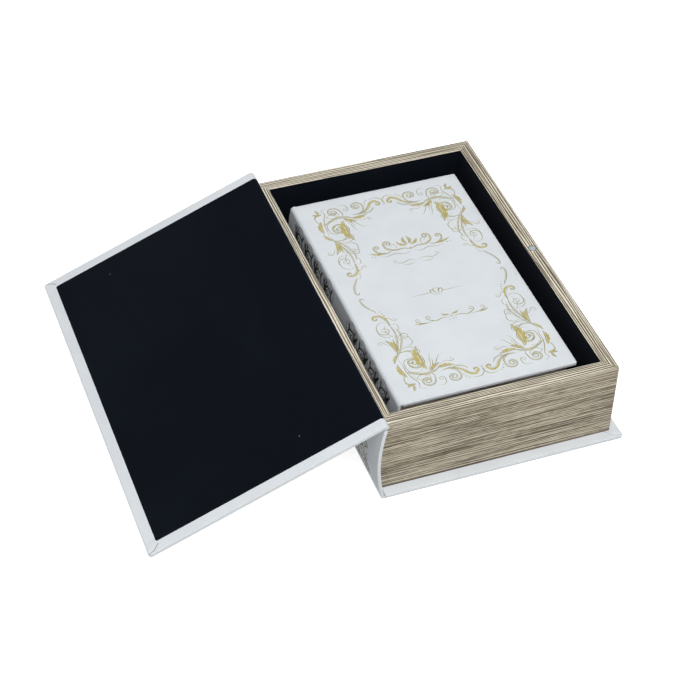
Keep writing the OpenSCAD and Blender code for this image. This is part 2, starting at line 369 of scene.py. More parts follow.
@dataclass(frozen=True)
class GrainPattern:
    """How the lines, the streaks and the pores of the wood grain run, by the scales of their noises."""

    line_pitch: float = 1.65 * MM
    line_share: float = 0.42
    line_middle: float = 0.42
    line_wander: float = 14.0
    rim_share: float = 1.05
    faintest_line: float = 0.55
    sway: float = 0.8 * MM
    pore_depth: float = 0.8
    sway_scale: Point3 = (5.0, 28.0, 28.0)
    wander_scale: Point3 = (11.0, 190.0, 190.0)
    faint_scale: Point3 = (16.0, 380.0, 380.0)
    pore_scale: Point3 = (15.0, 1500.0, 1500.0)
    streaks: tuple[tuple[Point3, float], ...] = (
        ((3.0, 110.0, 110.0), 0.1), ((9.0, 800.0, 800.0), 0.14), ((30.0, 1350.0, 1350.0), 0.28),
        ((150.0, 1500.0, 1500.0), 0.2),
    )


GRAIN = GrainPattern()


def wire_long_grain(wiring: NodeWiring, given: dict[str, Socket]) -> dict[str, Socket]:
    """Wires wood grain along X, with long lines that are stronger on a rim, and short open pores."""
    slow = wiring.streaks(given["Vector"], GRAIN.sway_scale, 2.0)
    sway = wiring.math("MULTIPLY", wiring.math("SUBTRACT", slow, 0.5), GRAIN.sway)
    shift = wiring.give(wiring.add("ShaderNodeCombineXYZ"), Y=sway, Z=sway)
    moved = wiring.add("ShaderNodeVectorMath", operation="ADD")
    wiring.feed(moved.inputs[0], given["Vector"])
    wiring.feed(moved.inputs[1], shift.outputs[0])
    place = moved.outputs[0]
    axes = wiring.give(wiring.add("ShaderNodeSeparateXYZ"), Vector=place)
    across = wiring.math("ADD", axes.outputs["Y"], axes.outputs["Z"])
    wander = wiring.streaks(place, GRAIN.wander_scale, 2.0)
    turns = wiring.sum_of((across, 2 * math.pi / GRAIN.line_pitch), (wander, GRAIN.line_wander))
    lines = wiring.spread(wiring.math("SINE", turns), -0.5, 0.5)
    on_rim = wiring.math("MULTIPLY", wiring.math("SUBTRACT", lines, GRAIN.line_middle), given["Rim"])
    strength = wiring.spread(wiring.streaks(place, GRAIN.faint_scale), 0.36, 0.58, GRAIN.faintest_line, 1.0)
    on_rim = wiring.math("MULTIPLY", on_rim, strength)
    streaks = [(wiring.spread(wiring.streaks(place, scale), 0.44, 0.56), share)
               for scale, share in GRAIN.streaks]
    tone = wiring.sum_of((lines, GRAIN.line_share), (on_rim, GRAIN.rim_share), *streaks)
    pore_mask = wiring.spread(wiring.streaks(place, GRAIN.pore_scale, 0.0), 0.56, 0.64)
    height = wiring.sum_of((tone, 1.0), (pore_mask, -GRAIN.pore_depth))
    return {"Tone": tone, "Pores": pore_mask, "Height": height}


def wire_lint(wiring: NodeWiring, given: dict[str, Socket]) -> dict[str, Socket]:
    """Wires sparse specks of lint and dust, each far smaller than the cell that it lies in."""
    cells = wiring.cells(given["Vector"], given["Scale"], smooth=False)
    parts = wiring.give(wiring.add("ShaderNodeSeparateColor"), Color=cells.outputs["Color"])
    chosen = wiring.math("GREATER_THAN", parts.outputs[0], wiring.math("SUBTRACT", 1.0, given["Share"]))
    near = wiring.spread(cells.outputs["Distance"], 0.02, 0.045, 1.0, 0.0)
    return {"Mask": wiring.math("MULTIPLY", chosen, near)}


def wire_nap(wiring: NodeWiring, given: dict[str, Socket]) -> dict[str, Socket]:
    """Wires the pile of velvet: fine fibres under slow strokes where it was brushed another way."""
    pile = wiring.noise(given["Vector"], given["Scale"], 2.0, 0.6)
    weave = wiring.streaks(given["Vector"], (900.0, 2400.0, 900.0))
    strokes = wiring.noise(wiring.stretched(given["Vector"], (9.0, 5.0, 9.0)), 1.0, 4.0, 0.55, 0.4)
    return {"Pile": wiring.sum_of((pile, 0.6), (weave, 0.4)), "Strokes": strokes}


PLACE_AND_SCALE = {"Vector": (VECTOR, None), "Scale": (FLOAT, 1.0)}
PEBBLE = Effect("leatherette_pebble", PLACE_AND_SCALE, {"Height": FLOAT, "Mottle": FLOAT}, wire_pebble)
# a broken mask along marked edges: wear on most finishes, a painted highlight on the wood's inner arrises,
# painted shade on the magnets' rims
EDGE_WEAR_AND_LIGHT = Effect("edge_wear_and_painted_light", {**PLACE_AND_SCALE, "Amount": (FLOAT, 1.0)}, {"Mask": FLOAT},
                   wire_edge_wear_and_light)
LONG_GRAIN = Effect("long_grain", {"Vector": (VECTOR, None), "Rim": (FLOAT, 0.0)},
                    {"Tone": FLOAT, "Pores": FLOAT, "Height": FLOAT}, wire_long_grain)
LINT = Effect("lint_specks", {**PLACE_AND_SCALE, "Share": (FLOAT, 0.1)}, {"Mask": FLOAT}, wire_lint)
NAP = Effect("velvet_nap", PLACE_AND_SCALE, {"Pile": FLOAT, "Strokes": FLOAT}, wire_nap)


@dataclass(frozen=True)
class Finish:
    """A surface finish. Each kind paints its own material."""

    name: str
    slot: str

    def paint(self, wiring: NodeWiring, shader: bpy.types.Node) -> None:
        """Wires the finish into the shader."""
        raise NotImplementedError

    def material(self) -> bpy.types.Material:
        """Returns the finish's material, which is painted the first time that it is asked for."""
        known = bpy.data.materials.get(self.name)
        if known is not None:
            return known
        made = bpy.data.materials.new(self.name)
        made.use_nodes = True
        wiring = NodeWiring(made.node_tree)
        self.paint(wiring, made.node_tree.nodes["Principled BSDF"])
        return made


@dataclass(frozen=True)
class Leatherette(Finish):
    """Cool white leatherette with a fine pebble, with painted shade in its folded seams, and greyer at rubbed
    edges.
    """

    light: Colour = srgb(227, 232, 236)
    shade: Colour = srgb(223, 228, 233)
    # grey of the painted shade in the mitred folds, also the colour of the dust specks
    seam: Colour = srgb(140, 143, 144)
    rubbed: Colour = srgb(205, 207, 206)
    pebble_scale: float = 1500.0
    pebble_depth: float = 0.09 * MM
    roughness: tuple[float, float] = (0.5, 0.62)
    wear: float = 0.3
    wear_scale: float = 420.0
    dust: float = 0.35
    dust_scale: float = 140.0
    dusty_cells: float = 0.05

    def paint(self, wiring: NodeWiring, shader: bpy.types.Node) -> None:
        """Wires the pebble, the mottle, the painted shade in the seams and the rubbed edges."""
        place = wiring.place()
        pebble = PEBBLE.put(wiring, Vector=place, Scale=self.pebble_scale)
        worn = EDGE_WEAR_AND_LIGHT.put(wiring, Vector=place, Scale=self.wear_scale, Amount=self.wear)
        dust = LINT.put(wiring, Vector=place, Scale=self.dust_scale, Share=self.dusty_cells)
        dusty = wiring.math("MULTIPLY", dust.outputs["Mask"], self.dust)
        colour = wiring.mix(wiring.spread(pebble.outputs["Mottle"], 0.35, 0.65), self.light, self.shade)
        colour = wiring.mix(worn.outputs["Mask"], colour, self.rubbed)
        colour = wiring.mix(dusty, colour, self.seam)
        # painted shade along the mitred folds
        colour = wiring.mix(wiring.mark(SHADE_MARK), colour, self.seam)
        height = pebble.outputs["Height"]
        wiring.give(shader, Base_Color=colour, Roughness=wiring.spread(height, 0.3, 1.1, *self.roughness),
                    Specular_IOR_Level=0.4, Normal=wiring.bump(height, self.pebble_depth, 0.7))


@dataclass(frozen=True)
class WoodPaper(Finish):
    """Greige wood-grain paper over fibreboard, with the grain along one wall."""

    grain: Grain = Grain.ALONG_X
    dark: Colour = srgb(100, 88, 69)
    middle: Colour = srgb(178, 168, 147)
    light: Colour = srgb(236, 229, 210)
    # the pores' colour, which also paints the contact shadow at the wall's foot
    pore_and_foot_shade: Colour = srgb(78, 67, 50)
    pore_share: float = 0.7
    warm: Colour = srgb(160, 136, 112)
    warmth: float = 0.16
    # light colour on marked arrises: wear, and a painted highlight along the inner arrises
    worn: Colour = srgb(236, 231, 217)
    wear_scale: float = 260.0
    # painted shade: the factor that darkens every face below the rim top
    side_shade: Colour = (0.77, 0.76, 0.74)
    roughness: tuple[float, float] = (0.72, 0.58)
    relief: float = 0.02 * MM
    cross_shift: float = 0.37

    def paint(self, wiring: NodeWiring, shader: bpy.types.Node) -> None:
        """Wires the grain, the pores, the sides darkened with painted shade, the arrises lightened for wear
        and a painted highlight, and the painted contact shadow at the foot.
        """
        turn, shift = self.grain.value * math.pi / 2, self.grain.value * self.cross_shift
        place = wiring.give(wiring.add("ShaderNodeMapping"), Rotation=(0.0, 0.0, turn),
                            Location=(0.0, 0.0, shift), Vector=wiring.place()).outputs[0]
        rim = wiring.mark(RIM_MARK)
        grain = LONG_GRAIN.put(wiring, Vector=place, Rim=rim)
        worn = EDGE_WEAR_AND_LIGHT.put(wiring, Vector=place, Scale=self.wear_scale, Amount=1.0)
        low = wiring.mix(wiring.spread(grain.outputs["Tone"], 0.1, 0.5), self.dark, self.middle)
        colour = wiring.mix(wiring.spread(grain.outputs["Tone"], 0.5, 0.9), low, self.light)
        warm = wiring.streaks(place, (6.0, 40.0, 40.0), 2.0)
        colour = wiring.mix(wiring.spread(warm, 0.45, 0.75, 0.0, self.warmth), colour, self.warm)
        pores = wiring.math("MULTIPLY", grain.outputs["Pores"], self.pore_share)
        colour = wiring.mix(pores, colour, self.pore_and_foot_shade)
        # painted shade: faces other than the rim top are darkened
        side = wiring.mix(1.0, colour, self.side_shade, "MULTIPLY")
        colour = wiring.mix(rim, side, colour)
        # arrises lightened: wear, and a painted highlight on the inner arrises
        colour = wiring.mix(worn.outputs["Mask"], colour, self.worn)
        # painted contact shadow along the wall's foot, in the pore colour
        colour = wiring.mix(wiring.mark(SHADE_MARK), colour, self.pore_and_foot_shade)
        rough = wiring.spread(grain.outputs["Tone"], 0.0, 1.0, *self.roughness)
        wiring.give(shader, Base_Color=colour, Roughness=rough, Specular_IOR_Level=0.3,
                    Normal=wiring.bump(grain.outputs["Height"], self.relief))


@dataclass(frozen=True)
class Velvet(Finish):
    """Blue-black velvet with a short pile, brushed unevenly and with a few specks of lint."""

    deep: Colour = (0.0018, 0.003, 0.0062)
    brushed: Colour = (0.005, 0.0074, 0.0118)
    speck: Colour = srgb(96, 100, 106)
    pile_scale: float = 2600.0
    pile_depth: float = 0.12 * MM
    lint_scale: float = 60.0
    linted_cells: float = 0.12
    sheen: float = 0.025
    sheen_tint: Colour = (0.55, 0.65, 0.8)

    def paint(self, wiring: NodeWiring, shader: bpy.types.Node) -> None:
        """Wires the pile, its brushed strokes and the lint."""
        place = wiring.place()
        nap = NAP.put(wiring, Vector=place, Scale=self.pile_scale)
        lint = LINT.put(wiring, Vector=place, Scale=self.lint_scale, Share=self.linted_cells)
        strokes = wiring.spread(nap.outputs["Strokes"], 0.36, 0.68)
        share = wiring.sum_of((strokes, 0.6), (nap.outputs["Pile"], 0.4))
        colour = wiring.mix(share, self.deep, self.brushed)
        colour = wiring.mix(lint.outputs["Mask"], colour, self.speck)
        pile = nap.outputs["Pile"]
        wiring.give(shader, Base_Color=colour, Roughness=wiring.spread(pile, 0.2, 0.8, 0.82, 1.0),
                    Specular_IOR_Level=0.06, Sheen_Weight=self.sheen, Sheen_Roughness=0.4,
                    Sheen_Tint=(*self.sheen_tint, 1.0), Normal=wiring.bump(pile, self.pile_depth, 0.8))


@dataclass(frozen=True)
class Fibreboard(Finish):
    """Brown-grey board of pressed fibres, which the coverings hide."""

    light: Colour = srgb(172, 150, 122)
    dark: Colour = srgb(132, 110, 86)
    fibre_scale: float = 900.0
    fibre_depth: float = 0.1 * MM
    flake_scale: float = 700.0

    def paint(self, wiring: NodeWiring, shader: bpy.types.Node) -> None:
        """Wires the pressed fibres."""
        place = wiring.place()
        fibres = NAP.put(wiring, Vector=place, Scale=self.fibre_scale).outputs["Pile"]
        flakes = wiring.cells(place, self.flake_scale)
        share = wiring.sum_of((fibres, 0.6), (flakes.outputs["Distance"], 0.5))
        colour = wiring.mix(wiring.spread(share, 0.3, 0.8), self.dark, self.light)
        wiring.give(shader, Base_Color=colour, Roughness=0.9, Normal=wiring.bump(fibres, self.fibre_depth))


@dataclass(frozen=True)
class PlatedMetal(Finish):
    """A bright or gilt metal with a fine unevenness: the magnets' plating and the stamped foil."""

    tone: Colour = srgb(200, 206, 210)
    dull: Colour = srgb(150, 158, 162)
    # colour of marked edges; this dark grey default is painted shade round the magnets' rims
    rubbed: Colour = srgb(70, 74, 76)
    roughness: tuple[float, float] = (0.22, 0.4)
    metal: float = 1.0
    flaw_scale: float = 600.0
    flaw_depth: float = 0.01 * MM
    wear: float = 0.9
    wear_scale: float = 900.0

    def paint(self, wiring: NodeWiring, shader: bpy.types.Node) -> None:
        """Wires the plating's clouds and scuffs, and the rubbed colour along marked edges, which on the
        magnets' rims is painted shade.
        """
        place = wiring.place()
        clouds = wiring.noise(place, self.flaw_scale, 4.0, 0.6)
        scuffs = wiring.streaks(place, (2600.0, 300.0, 300.0), 2.0)
        worn = EDGE_WEAR_AND_LIGHT.put(wiring, Vector=place, Scale=self.wear_scale, Amount=self.wear)
        share = wiring.sum_of((clouds, 0.65), (scuffs, 0.35))
        colour = wiring.mix(wiring.spread(share, 0.38, 0.64), self.tone, self.dull)
        colour = wiring.mix(worn.outputs["Mask"], colour, self.rubbed)
        rough = wiring.spread(share, 0.35, 0.65, *self.roughness)
        wiring.give(shader, Base_Color=colour, Metallic=self.metal, Roughness=rough,
                    Normal=wiring.bump(clouds, self.flaw_depth))


LEATHERETTE = Leatherette("white_leatherette_pebbled", "white_leatherette")
WOOD_ALONG = {way: WoodPaper(f"wood_paper_{way.name.lower()}", "wood_grain", way) for way in Grain}
VELVET = Velvet("blue_black_velvet", "black_velvet")
FIBREBOARD = Fibreboard("pressed_fibreboard", "fibreboard")
NICKEL = PlatedMetal("nickel_plating", "magnet_nickel")
FOIL = PlatedMetal("stamped_gold_foil", "gold_foil", tone=srgb(194, 182, 116), dull=srgb(170, 156, 92),
                   rubbed=srgb(136, 136, 108), roughness=(0.26, 0.4), metal=1.0, flaw_scale=300.0)
# the same gold foil for the spines, darkened all over as painted shade because the spines lie in shade
SHADED_SPINE_FOIL = PlatedMetal("shade_darkened_gold_foil", "gold_foil", tone=srgb(86, 79, 55), dull=srgb(66, 62, 45),
                         rubbed=srgb(50, 49, 42), roughness=(0.36, 0.52), metal=0.8, flaw_scale=300.0)


class Surface:
    """A mesh being made: its points, its faces, how far each point lies on an edge that takes wear, and on
    the magnets painted shade, and how much painted shade it takes in a seam.
    """

    def __init__(self) -> None:
        """Starts with nothing in it."""
        self.points: list[Vector] = []
        self.faces: list[tuple[int, ...]] = []
        self.edge: list[float] = []
        self.seam: list[float] = []

    def row(self, points: Iterable[Sequence[float]], edge: float = 0.0) -> list[int]:
        """Adds a row of points.

        Args:
            points: the points, in order.
            edge: how far the row counts as a marked edge, from 0 to 1, which takes wear, and on the magnets
                painted shade.

        Returns:
            The places of the new points in the mesh.
        """
        first = len(self.points)
        self.points.extend(Vector(point) for point in points)
        count = len(self.points) - first
        self.edge.extend([edge] * count)
        self.seam.extend([0.0] * count)
        return list(range(first, first + count))

    def cap(self, row: Sequence[int]) -> None:
        """Closes a row with one face."""
        self.faces.append(tuple(row))

    def loft(self, rows: Sequence[Sequence[int]], capped: bool = True) -> None:
        """Joins closed rows of as many points with bands of faces.

        Args:
            rows: the rows, in order.
            capped: whether the first and the last are closed too.
        """
        for first, second in zip(rows, rows[1:]):
            for place in range(len(first)):
                after = (place + 1) % len(first)
                self.faces.append((first[place], first[after], second[after], second[place]))
        if capped:
            self.cap(rows[0])
            self.cap(rows[-1])

    def piece(self, name: str, finish: Finish, placed: Matrix, bend: float = SHARP_FROM) -> bpy.types.Object:
        """Makes the Blender object, with its outside facing out.

        Args:
            name: the piece's name.
            finish: what it is finished with.
            placed: from the surface's own space into the frame.
            bend: the angle past which an edge is shown sharp, in degrees.

        Returns:
            The new object.
        """
        mesh = bpy.data.meshes.new(name)
        mesh.from_pydata([placed @ point for point in self.points], [], self.faces)
        for mark, values in ((EDGE_MARK, self.edge), (SHADE_MARK, self.seam)):
            mesh.attributes.new(mark, "FLOAT", "POINT").data.foreach_set("value", values)
        shape = bmesh.new()
        shape.from_mesh(mesh)
        bmesh.ops.remove_doubles(shape, verts=shape.verts, dist=WELD / 2)
        bmesh.ops.recalc_face_normals(shape, faces=shape.faces)
        shape.to_mesh(mesh)
        shape.free()
        return dressed(bpy.data.objects.new(name, mesh), finish, bend)


def linked(made: bpy.types.Object) -> bpy.types.Object:
    """Links a new object into the scene and returns it."""
    bpy.context.scene.collection.objects.link(made)
    return made


def dressed(piece: bpy.types.Object, finish: Finish, bend: float = SHARP_FROM) -> bpy.types.Object:
    """Links a new piece into the scene, with its finish and its sharp edges.

    Args:
        piece: the new object.
        finish: what it is finished with.
        bend: the angle past which an edge is shown sharp, in degrees.

    Returns:
        The same object.
    """
    linked(piece)
    piece.data.materials.clear()
    piece.data.materials.append(finish.material())
    piece.data.shade_smooth()
    piece.data.set_sharp_from_angle(angle=math.radians(bend))
    LOG.info("made %s: %d points, %d faces", piece.name, len(piece.data.vertices), len(piece.data.polygons))
    return piece


def spaced(length: float, coarse: float, fine: float, reach: float) -> tuple[float, ...]:
    """Shares of a length at which grid lines stand: close together near both ends, wider between.

    Args:
        length: the length.
        coarse: the spacing in the middle.
        fine: the spacing near the ends.
        reach: how far from each end the fine spacing goes.

    Returns:
        The shares between 0 and 1, without the ends.
    """
    near = [fine * (place + 1) for place in range(int(reach / fine))]
    start = near[-1] if near else 0.0
    count = max(2, math.ceil((length - 2 * start) / coarse))
    middle = [start + (length - 2 * start) * place / count for place in range(1, count)]
    far = [length - place for place in reversed(near)]
    return tuple(place / length for place in [*near, *middle, *far])


SQUARE_CORNERS = (0.0, 0.0, 0.0, 0.0)
ARC_STEPS = 6


@dataclass(frozen=True)
class Plan:
    """A rectangle seen square on, with rounded corners and the grid lines that cross it."""

    low: Point
    high: Point
    radii: tuple[float, float, float, float]
    cuts_x: tuple[float, ...]
    cuts_y: tuple[float, ...]

    def outline(self, inset: float, first_inset: float | None = None) -> list[Point]:
        """The outline, drawn in from the rectangle.

        Args:
            inset: how far in from the edges.
            first_inset: how far in from the edge of low X, where that differs.

        Returns:
            The points, from the corner of low X and low Y round by high X. Each corner has as many
            points at every inset, so outlines can be joined.
        """
        left = self.low[0] + (inset if first_inset is None else first_inset)
        right, bottom, top = self.high[0] - inset, self.low[1] + inset, self.high[1] - inset
        corners = ((left, bottom, 1, 1), (right, bottom, -1, 1), (right, top, -1, -1), (left, top, 1, -1))
        radii = [max(radius - inset, 0.0) for radius in self.radii]
        points: list[Point] = []
        for turn, ((x, y, to_x, to_y), radius) in enumerate(zip(corners, radii)):
            centre = (x + to_x * radius, y + to_y * radius)
            for step in range(ARC_STEPS + 1):
                angle = math.radians(180 + 90 * turn + 90 * step / ARC_STEPS)
                points.append((centre[0] + radius * math.cos(angle), centre[1] + radius * math.sin(angle)))
            after = corners[(turn + 1) % 4]
            after_radius = radii[(turn + 1) % 4]
            end = (after[0] + after[2] * after_radius, after[1] + after[3] * after_radius)
            cuts = self.cuts_x if turn % 2 == 0 else self.cuts_y
            for cut in cuts if turn < 2 else [1 - cut for cut in reversed(cuts)]:
                if turn % 2 == 0:
                    points.append((centre[0] + (end[0] - centre[0]) * cut, y))
                else:
                    points.append((x, centre[1] + (end[1] - centre[1]) * cut))
        return points

    def fill(self, surface: Surface, row: Sequence[int]) -> None:
        """Fills a row that has sharp corners with a grid of faces on the plan's lines."""
        step, wide, tall = ARC_STEPS + 1, len(self.cuts_x), len(self.cuts_y)
        grid: dict[tuple[int, int], int] = {
            (0, 0): row[0], (wide + 1, 0): row[step + wide],
            (wide + 1, tall + 1): row[2 * step + wide + tall],
            (0, tall + 1): row[3 * step + 2 * wide + tall],
        }
        for place in range(wide):
            grid[(place + 1, 0)] = row[step + place]
            grid[(wide - place, tall + 1)] = row[3 * step + wide + tall + place]
        for place in range(tall):
            grid[(wide + 1, place + 1)] = row[2 * step + wide + place]
            grid[(0, tall - place)] = row[4 * step + 2 * wide + tall + place]
        for i in range(1, wide + 1):
            for j in range(1, tall + 1):
                across, along = surface.points[grid[(i, 0)]], surface.points[grid[(0, j)]]
                grid[(i, j)] = surface.row([(across.x, along.y, along.z)])[0]
        for i in range(wide + 1):
            for j in range(tall + 1):
                surface.cap([grid[place] for place in ((i, j), (i + 1, j), (i + 1, j + 1), (i, j + 1))])


def quarter_round(radius: float, steps: int = 4) -> list[Point]:
    """How far in and how far down each ring of a rounded edge lies, from the side to the face."""
    turns = [math.pi / 2 * step / steps for step in range(steps + 1)]
    return [(radius * (1 - math.sin(turn)), radius * (1 - math.cos(turn))) for turn in reversed(turns)]


def soft_panel(plan: Plan, thick: float, edge_radius: float, relief: Callable[[float, float], float],
               first_inset: float | None = None) -> Surface:
    """A thin panel that lies on its flat back, with rounded edges and a face that may swell.

    Args:
        plan: its outline and grid.
        thick: how thick it is.
        edge_radius: the radius of its front edges.
        relief: how far the face stands out at a place, beyond the thickness.
        first_inset: where the face's grid starts from the edge of low X, where that differs.

    Returns:
        The surface, with its back at height 0.
    """
    surface = Surface()
    deepest = max(max(plan.radii), edge_radius) + 0.3 * MM
    back = surface.row((x, y, 0.0) for x, y in plan.outline(0.0))
    rings = [back]
    for inset, drop in quarter_round(edge_radius):
        rings.append(surface.row(((x, y, thick - drop) for x, y in plan.outline(inset)), 1.0))
    rings.append(surface.row((x, y, thick) for x, y in plan.outline(deepest, first_inset)))
    surface.loft(rings, capped=False)
    plan.fill(surface, rings[-1])
    surface.cap(back)
    for point in surface.points:
        if point.z > thick * 0.8:
            point.z += relief(point.x, point.y)
    return surface


def solid_shape(node: str) -> bmesh.types.BMesh:
    """A solid of the frame as a mesh to edit, with the triangles of each flat face joined."""
    shape = bmesh.new()
    shape.from_mesh(frame["nodes"][node].data)
    bmesh.ops.remove_doubles(shape, verts=shape.verts, dist=WELD)
    bmesh.ops.dissolve_limit(shape, angle_limit=math.radians(0.6), verts=shape.verts, edges=shape.edges)
    return shape


def finished(shape: bmesh.types.BMesh, name: str) -> bpy.types.Object:
    """Turns an edited mesh into an object, and frees it."""
    mesh = bpy.data.meshes.new(name)
    shape.to_mesh(mesh)
    shape.free()
    return bpy.data.objects.new(name, mesh)


@dataclass(frozen=True)
class WallPaper:
    """The wood-grain paper of one wall: the wall's own shape, eased, marked where it is worn, with a painted
    highlight on its inner arrises and painted shadow at its foot.
    """

    node: str
    side: Side
    arris: float = 0.7 * MM
    arris_steps: int = 3
    # how high the painted contact shadow at the wall's foot reaches, and how far it fades
    foot_shade: float = 0.9 * MM
    foot_fade: float = 0.5 * MM
    # how much lightening the outer arrises take; on the inner arrises it is wear and a painted highlight
    outer_wear_and_highlight: float = 0.05
    sharp_from: float = 35.0
    shown_sharp_from: float = 30.0

    def piece(self, name: str) -> bpy.types.Object:
        """Makes the paper.

        Args:
            name: the piece's name.

        Returns:
            The new piece, with its eased edges, its top and its foot marked.
        """
        shape = solid_shape(self.node)
        sharp = [edge for edge in shape.edges
                 if len(edge.link_faces) == 2 and edge.calc_face_angle() > math.radians(self.sharp_from)]
        made = bmesh.ops.bevel(shape, geom=sharp, offset=self.arris, segments=self.arris_steps, profile=0.5,
                               affect="EDGES", clamp_overlap=True)
        foot = min(corner.co.z for corner in shape.verts) + self.foot_shade
        for level in (foot, foot + self.foot_fade):
            bmesh.ops.bisect_plane(shape, geom=[*shape.verts, *shape.edges, *shape.faces], dist=WELD,
                                   plane_co=(0.0, 0.0, level), plane_no=(0.0, 0.0, 1.0))
        self.mark(shape, {face for face in made["faces"] if face.is_valid}, foot)
        bmesh.ops.recalc_face_normals(shape, faces=shape.faces)
        way = Grain.ALONG_X if self.side in ENDS else Grain.ALONG_Y
        return dressed(finished(shape, name), WOOD_ALONG[way], self.shown_sharp_from)

    def mark(self, shape: bmesh.types.BMesh, eased: set[bmesh.types.BMFace], foot: float) -> None:
        """Marks the arrises for wear and a painted highlight, the rim on top, and the painted contact shadow
        at the foot.

        Args:
            shape: the wall's mesh.
            eased: the faces that ease its edges.
            foot: up to which height the foot takes painted shadow.
        """
        names = (EDGE_MARK, RIM_MARK, SHADE_MARK)
        for name in names:
            shape.verts.layers.float.new(name)
        edge, rim, seam = (shape.verts.layers.float[name] for name in names)
        top = max(corner.co.z for corner in shape.verts) - 0.02 * MM
        out_x, out_y = OUTWARD[self.side]
        reach = {corner: corner.co.x * out_x + corner.co.y * out_y for corner in shape.verts}
        middle = (min(reach.values()) + max(reach.values())) / 2
        for corner in shape.verts:
            within = eased.issuperset(corner.link_faces)
            # inner arrises take the full lightening, wear and painted highlight; outer arrises hardly any
            rubbed = self.outer_wear_and_highlight if reach[corner] > middle else 1.0
            corner[edge] = rubbed if within and corner.co.z > foot else 0.0
            corner[rim] = 1.0 if corner.co.z > top else 0.0
            # painted contact shadow at the foot
            corner[seam] = 1.0 if corner.co.z < foot + self.foot_fade / 2 else 0.0


@dataclass(frozen=True)
class BoxSizes:
    """The sizes of one box, which are read from the solids of the frame."""

    prefix: str
    joint_x: float
    base_z: float
    cover_l: float
    cover_w: float
    cover_t: float
    tray_w: float
    tray_half_l: float
    wall_t: float
    hollow_x0: float
    rim_z: float
    floor_z: float
    pivot_z: float
    rise: float
    spine_t: float
    leather_t: float
    lid_margin: float
    magnet_d: float
    lid_magnet_d: float
    open_angle: float
    velvet_t: float = 0.6 * MM
    lining_t: float = 0.4 * MM
    lining_drop: float = 0.5 * MM
    flap_lap: float = 4.5 * MM
    joint_edge: float = 0.35 * MM
    magnet_t: float = 2.0 * MM
    lid_magnet_t: float = 1.2 * MM

    @staticmethod
    def read(prefix: str, joint: str) -> "BoxSizes":
        """Reads the sizes of a box.

        Args:
            prefix: what the names of its solids start with.
            joint: the name of its lid's joint.

        Returns:
            Its sizes, measured from its own corner of the frame.
        """

        def box(node: str) -> tuple[Vector, Vector]:
            """The lowest and highest corners of one of its solids."""
            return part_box(prefix + node)

        base_low, base_high = box("base_leatherette")
        fore_low, fore_high = box("wall_fore_edge")
        hinge = next(made for made in frame["joints"] if made["name"] == joint)
        turns = max(hinge["range_deg"], key=abs)
        leather_t = box("spine_board")[0].x - box("spine_leatherette")[0].x
        rise = base_low.x - box("wall_spine")[0].x
        cover_l = base_high.y - base_low.y
        velvet_low, velvet_high = box("lid_velvet")
        magnet_low, magnet_high = box("rim_magnet")
        lid_magnet_low, lid_magnet_high = box("lid_magnet")
        return BoxSizes(
            prefix=prefix, joint_x=base_low.x, base_z=base_low.z, cover_l=cover_l,
            cover_w=base_high.x - base_low.x, cover_t=base_high.z - base_low.z,
            tray_w=fore_high.x - base_low.x, tray_half_l=fore_high.y, wall_t=fore_high.x - fore_low.x,
            hollow_x0=box("lining_spine")[0].x - base_low.x, rim_z=fore_high.z - base_low.z,
            floor_z=box("floor_velvet")[1].z - base_low.z, pivot_z=hinge["pos_m"][2] - base_low.z,
            rise=rise, spine_t=base_low.x - box("spine_board")[0].x - rise, leather_t=leather_t,
            lid_margin=(cover_l - (velvet_high.y - velvet_low.y)) / 2,
            magnet_d=magnet_high.y - magnet_low.y, lid_magnet_d=lid_magnet_high.y - lid_magnet_low.y,
            open_angle=math.radians(-turns) if turns < 0 else 0.0,
        )

    @property
    def half_l(self) -> float:
        """Half of a cover's length."""
        return self.cover_l / 2

    @property
    def square(self) -> float:
        """How far the covers stand past the tray."""
        return self.half_l - self.tray_half_l

    @property
    def board_level(self) -> float:
        """The height of a cover board's inner face, from its outer skin."""
        return self.cover_t - self.leather_t

    @property
    def hollow_half_l(self) -> float:
        """Half of the hollow's length, between the bare walls."""
        return self.tray_half_l - self.wall_t

    @property
    def hollow_x1(self) -> float:
        """Where the hollow ends at the fore edge wall."""
        return self.tray_w - self.wall_t

    @property
    def magnet_x(self) -> float:
        """Where the magnets lie, from the joint."""
        return self.tray_w - self.wall_t / 2

    def lid_fall(self, x: float) -> float:
        """How far a lid's height is drawn in at a distance from its joint, where it rounds over.

        Args:
            x: the distance from the joint.

        Returns:
            The share of the height that is left.
        """
        reach = self.cover_t - self.joint_edge
        away = min(max(reach - x, 0.0), reach)
        return (self.joint_edge + math.sqrt(reach**2 - away**2)) / self.cover_t

    @property
    def arc_r(self) -> float:
        """The radius of the wall side of the spine."""
        return ((self.pivot_z / 2) ** 2 + self.rise**2) / (2 * self.rise)

    def spine_x(self, proud: float, z: float) -> float:
        """Where the spine's circle lies at a height.

        Args:
            proud: how far outside the wall side of the spine.
            z: the height.

        Returns:
            Its place along X.
        """
        radius = self.arc_r + proud
        return self.arc_r - self.rise - math.sqrt(radius**2 - (z - self.pivot_z / 2) ** 2)

    def box_place(self) -> Matrix:
        """From the box's own space into the frame."""
        return Matrix.Translation((self.joint_x, 0.0, self.base_z))

    def lid_place(self) -> Matrix:
        """From a lid that lies on its outer face, with its joint at X 0, into the frame."""
        turned = Matrix.Rotation(-self.open_angle, 4, "Y") @ Matrix.Diagonal((1.0, 1.0, -1.0, 1.0))
        return self.box_place() @ Matrix.Translation((0.0, 0.0, self.pivot_z)) @ turned


